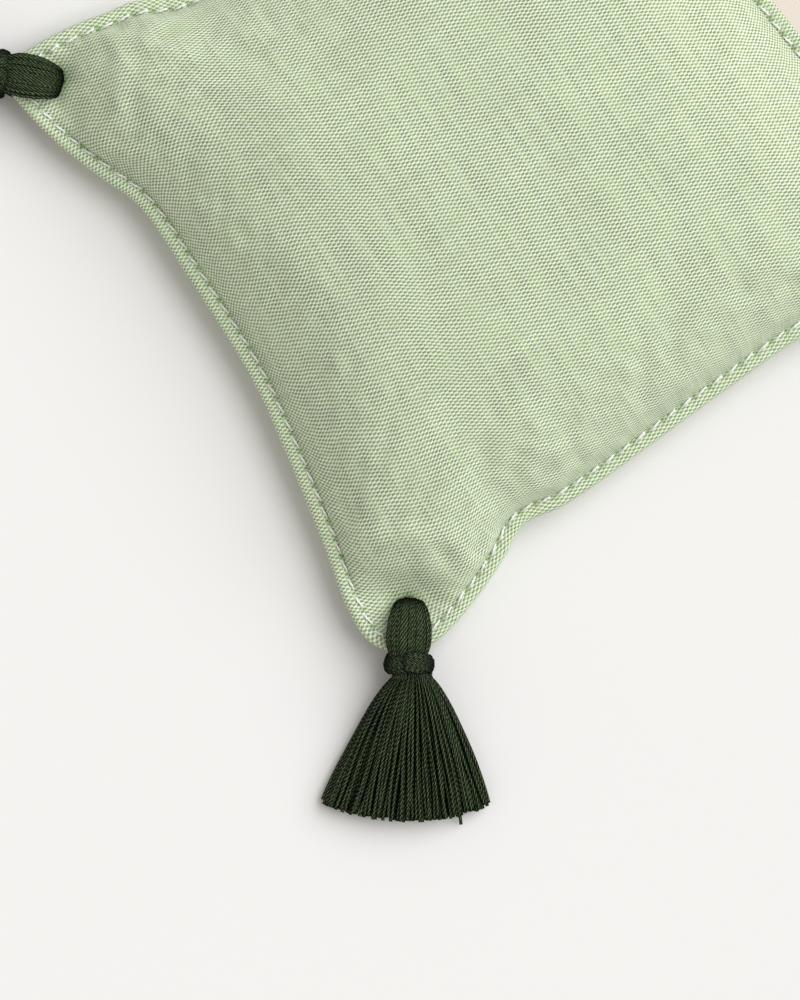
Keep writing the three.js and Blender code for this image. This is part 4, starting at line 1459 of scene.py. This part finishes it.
def build_stage(scene):
    """Camera, floor, main light and sky."""
    stage = scene.sachet_stage
    scene.view_settings.view_transform = "Standard"
    aim = Vector((*stage.aim, ear_height() * MM))
    camera = linked("camera", bpy.data.cameras.new("camera"))
    camera.location = aim + Vector((0.0, 0.0, stage.distance))
    camera.rotation_euler = (0.0, 0.0, stage.turn)
    camera.data.lens = camera.data.sensor_width * stage.distance / stage.picture_height
    camera.data.clip_start = 0.01
    scene.camera = camera
    floor = bpy.data.meshes.new("floor")
    half = 4.0
    floor.from_pydata([(-half, -half, 0.0), (half, -half, 0.0), (half, half, 0.0), (-half, half, 0.0)], [],
                      [(0, 1, 2, 3)])
    floor.materials.append(floor_material(stage))
    ground = linked("floor", floor)
    key = bpy.data.lights.new("key", "SUN")
    key.angle = stage.key_angle
    key.energy = stage.key_strength
    key.color = KEY_TINT
    lamp = linked("key", key)
    azimuth, elevation = stage.key_azimuth, stage.key_elevation
    towards = Vector((math.cos(azimuth) * math.cos(elevation), math.sin(azimuth) * math.cos(elevation),
                      math.sin(elevation)))
    lamp.location = towards
    lamp.rotation_mode = "QUATERNION"
    lamp.rotation_quaternion = towards.to_track_quat("Z", "Y")
    world = bpy.data.worlds.new("sky")
    world.use_nodes = True
    wire = Wire(world.node_tree)
    background = world.node_tree.nodes["Background"]
    paths = wire.node("ShaderNodeLightPath")
    seen = paths.out("Is Camera Ray") + paths.out("Is Glossy Ray") + paths.out("Is Transmission Ray")
    fill = opaque(stage.sky * level for level in SKY_TINT)
    colours = mixed(seen, fill, opaque(stage.floor_colour))
    world.node_tree.links.new(colours.socket, background.inputs["Color"])
    scene.world = world


class SACHET_OT_stage(bpy.types.Operator):
    """Sets the camera, the light and the floor"""
    bl_idname = "sachet.stage"
    bl_label = "Stage"

    def execute(self, context):
        build_stage(context.scene)
        return {"FINISHED"}


class SACHET_OT_cover(bpy.types.Operator):
    """Sews and fills the two panels, with the dried buds inside"""
    bl_idname = "sachet.cover"
    bl_label = "Cover and Filling"

    def execute(self, context):
        build_cover(context.scene)
        return {"FINISHED"}


class SACHET_OT_stitches(bpy.types.Operator):
    """Stitches round the edge, above and below"""
    bl_idname = "sachet.stitches"
    bl_label = "Stitches"

    def execute(self, context):
        build_stitches(context.scene)
        return {"FINISHED"}


class SACHET_OT_label(bpy.types.Operator):
    """Folds the bare label into the right edge"""
    bl_idname = "sachet.label"
    bl_label = "Label"

    def execute(self, context):
        build_label(context.scene)
        return {"FINISHED"}


class SACHET_OT_loops(bpy.types.Operator):
    """Passes the four tassel loops through the ears"""
    bl_idname = "sachet.loops"
    bl_label = "Tassel Loops"

    def execute(self, context):
        build_loops(context.scene)
        return {"FINISHED"}


class SACHET_OT_ties(bpy.types.Operator):
    """Winds the ties round the tassels' necks"""
    bl_idname = "sachet.ties"
    bl_label = "Tassel Ties"

    def execute(self, context):
        build_ties(context.scene)
        return {"FINISHED"}


class SACHET_OT_skirts(bpy.types.Operator):
    """Spreads the strands of the tassels' skirts"""
    bl_idname = "sachet.skirts"
    bl_label = "Tassel Skirts"

    def execute(self, context):
        build_skirts(context.scene)
        return {"FINISHED"}


OPERATORS = (SACHET_OT_stage, SACHET_OT_cover, SACHET_OT_stitches, SACHET_OT_label, SACHET_OT_loops,
             SACHET_OT_ties, SACHET_OT_skirts)


class SACHET_PT_sidebar(bpy.types.Panel):
    """Lists the sachet's steps and sizes"""
    bl_label = "Lavender Sachet"
    bl_space_type = "VIEW_3D"
    bl_region_type = "UI"
    bl_category = "Sachet"

    def draw(self, context):
        for operator in OPERATORS:
            self.layout.operator(operator.bl_idname)
        for name, group in GROUPS.items():
            box = self.layout.box()
            box.label(text=group.__doc__)
            for field in group.__annotations__:
                box.prop(getattr(context.scene, name), field)


CLASSES = (*GROUPS.values(), *OPERATORS, SACHET_PT_sidebar)


def register():
    """Makes the classes known and puts their settings on the scene."""
    for cls in CLASSES:
        bpy.utils.register_class(cls)
    for name, group in GROUPS.items():
        setattr(bpy.types.Scene, name, PointerProperty(type=group))


def unregister():
    """Takes the settings and the classes away again."""
    for name in GROUPS:
        delattr(bpy.types.Scene, name)
    for cls in reversed(CLASSES):
        bpy.utils.unregister_class(cls)


def main():
    """Makes the stage and every piece."""
    register()
    bpy.ops.sachet.stage()
    bpy.ops.sachet.cover()
    bpy.ops.sachet.stitches()
    bpy.ops.sachet.label()
    bpy.ops.sachet.loops()
    bpy.ops.sachet.ties()
    bpy.ops.sachet.skirts()


if __name__ == "__main__":
    main()
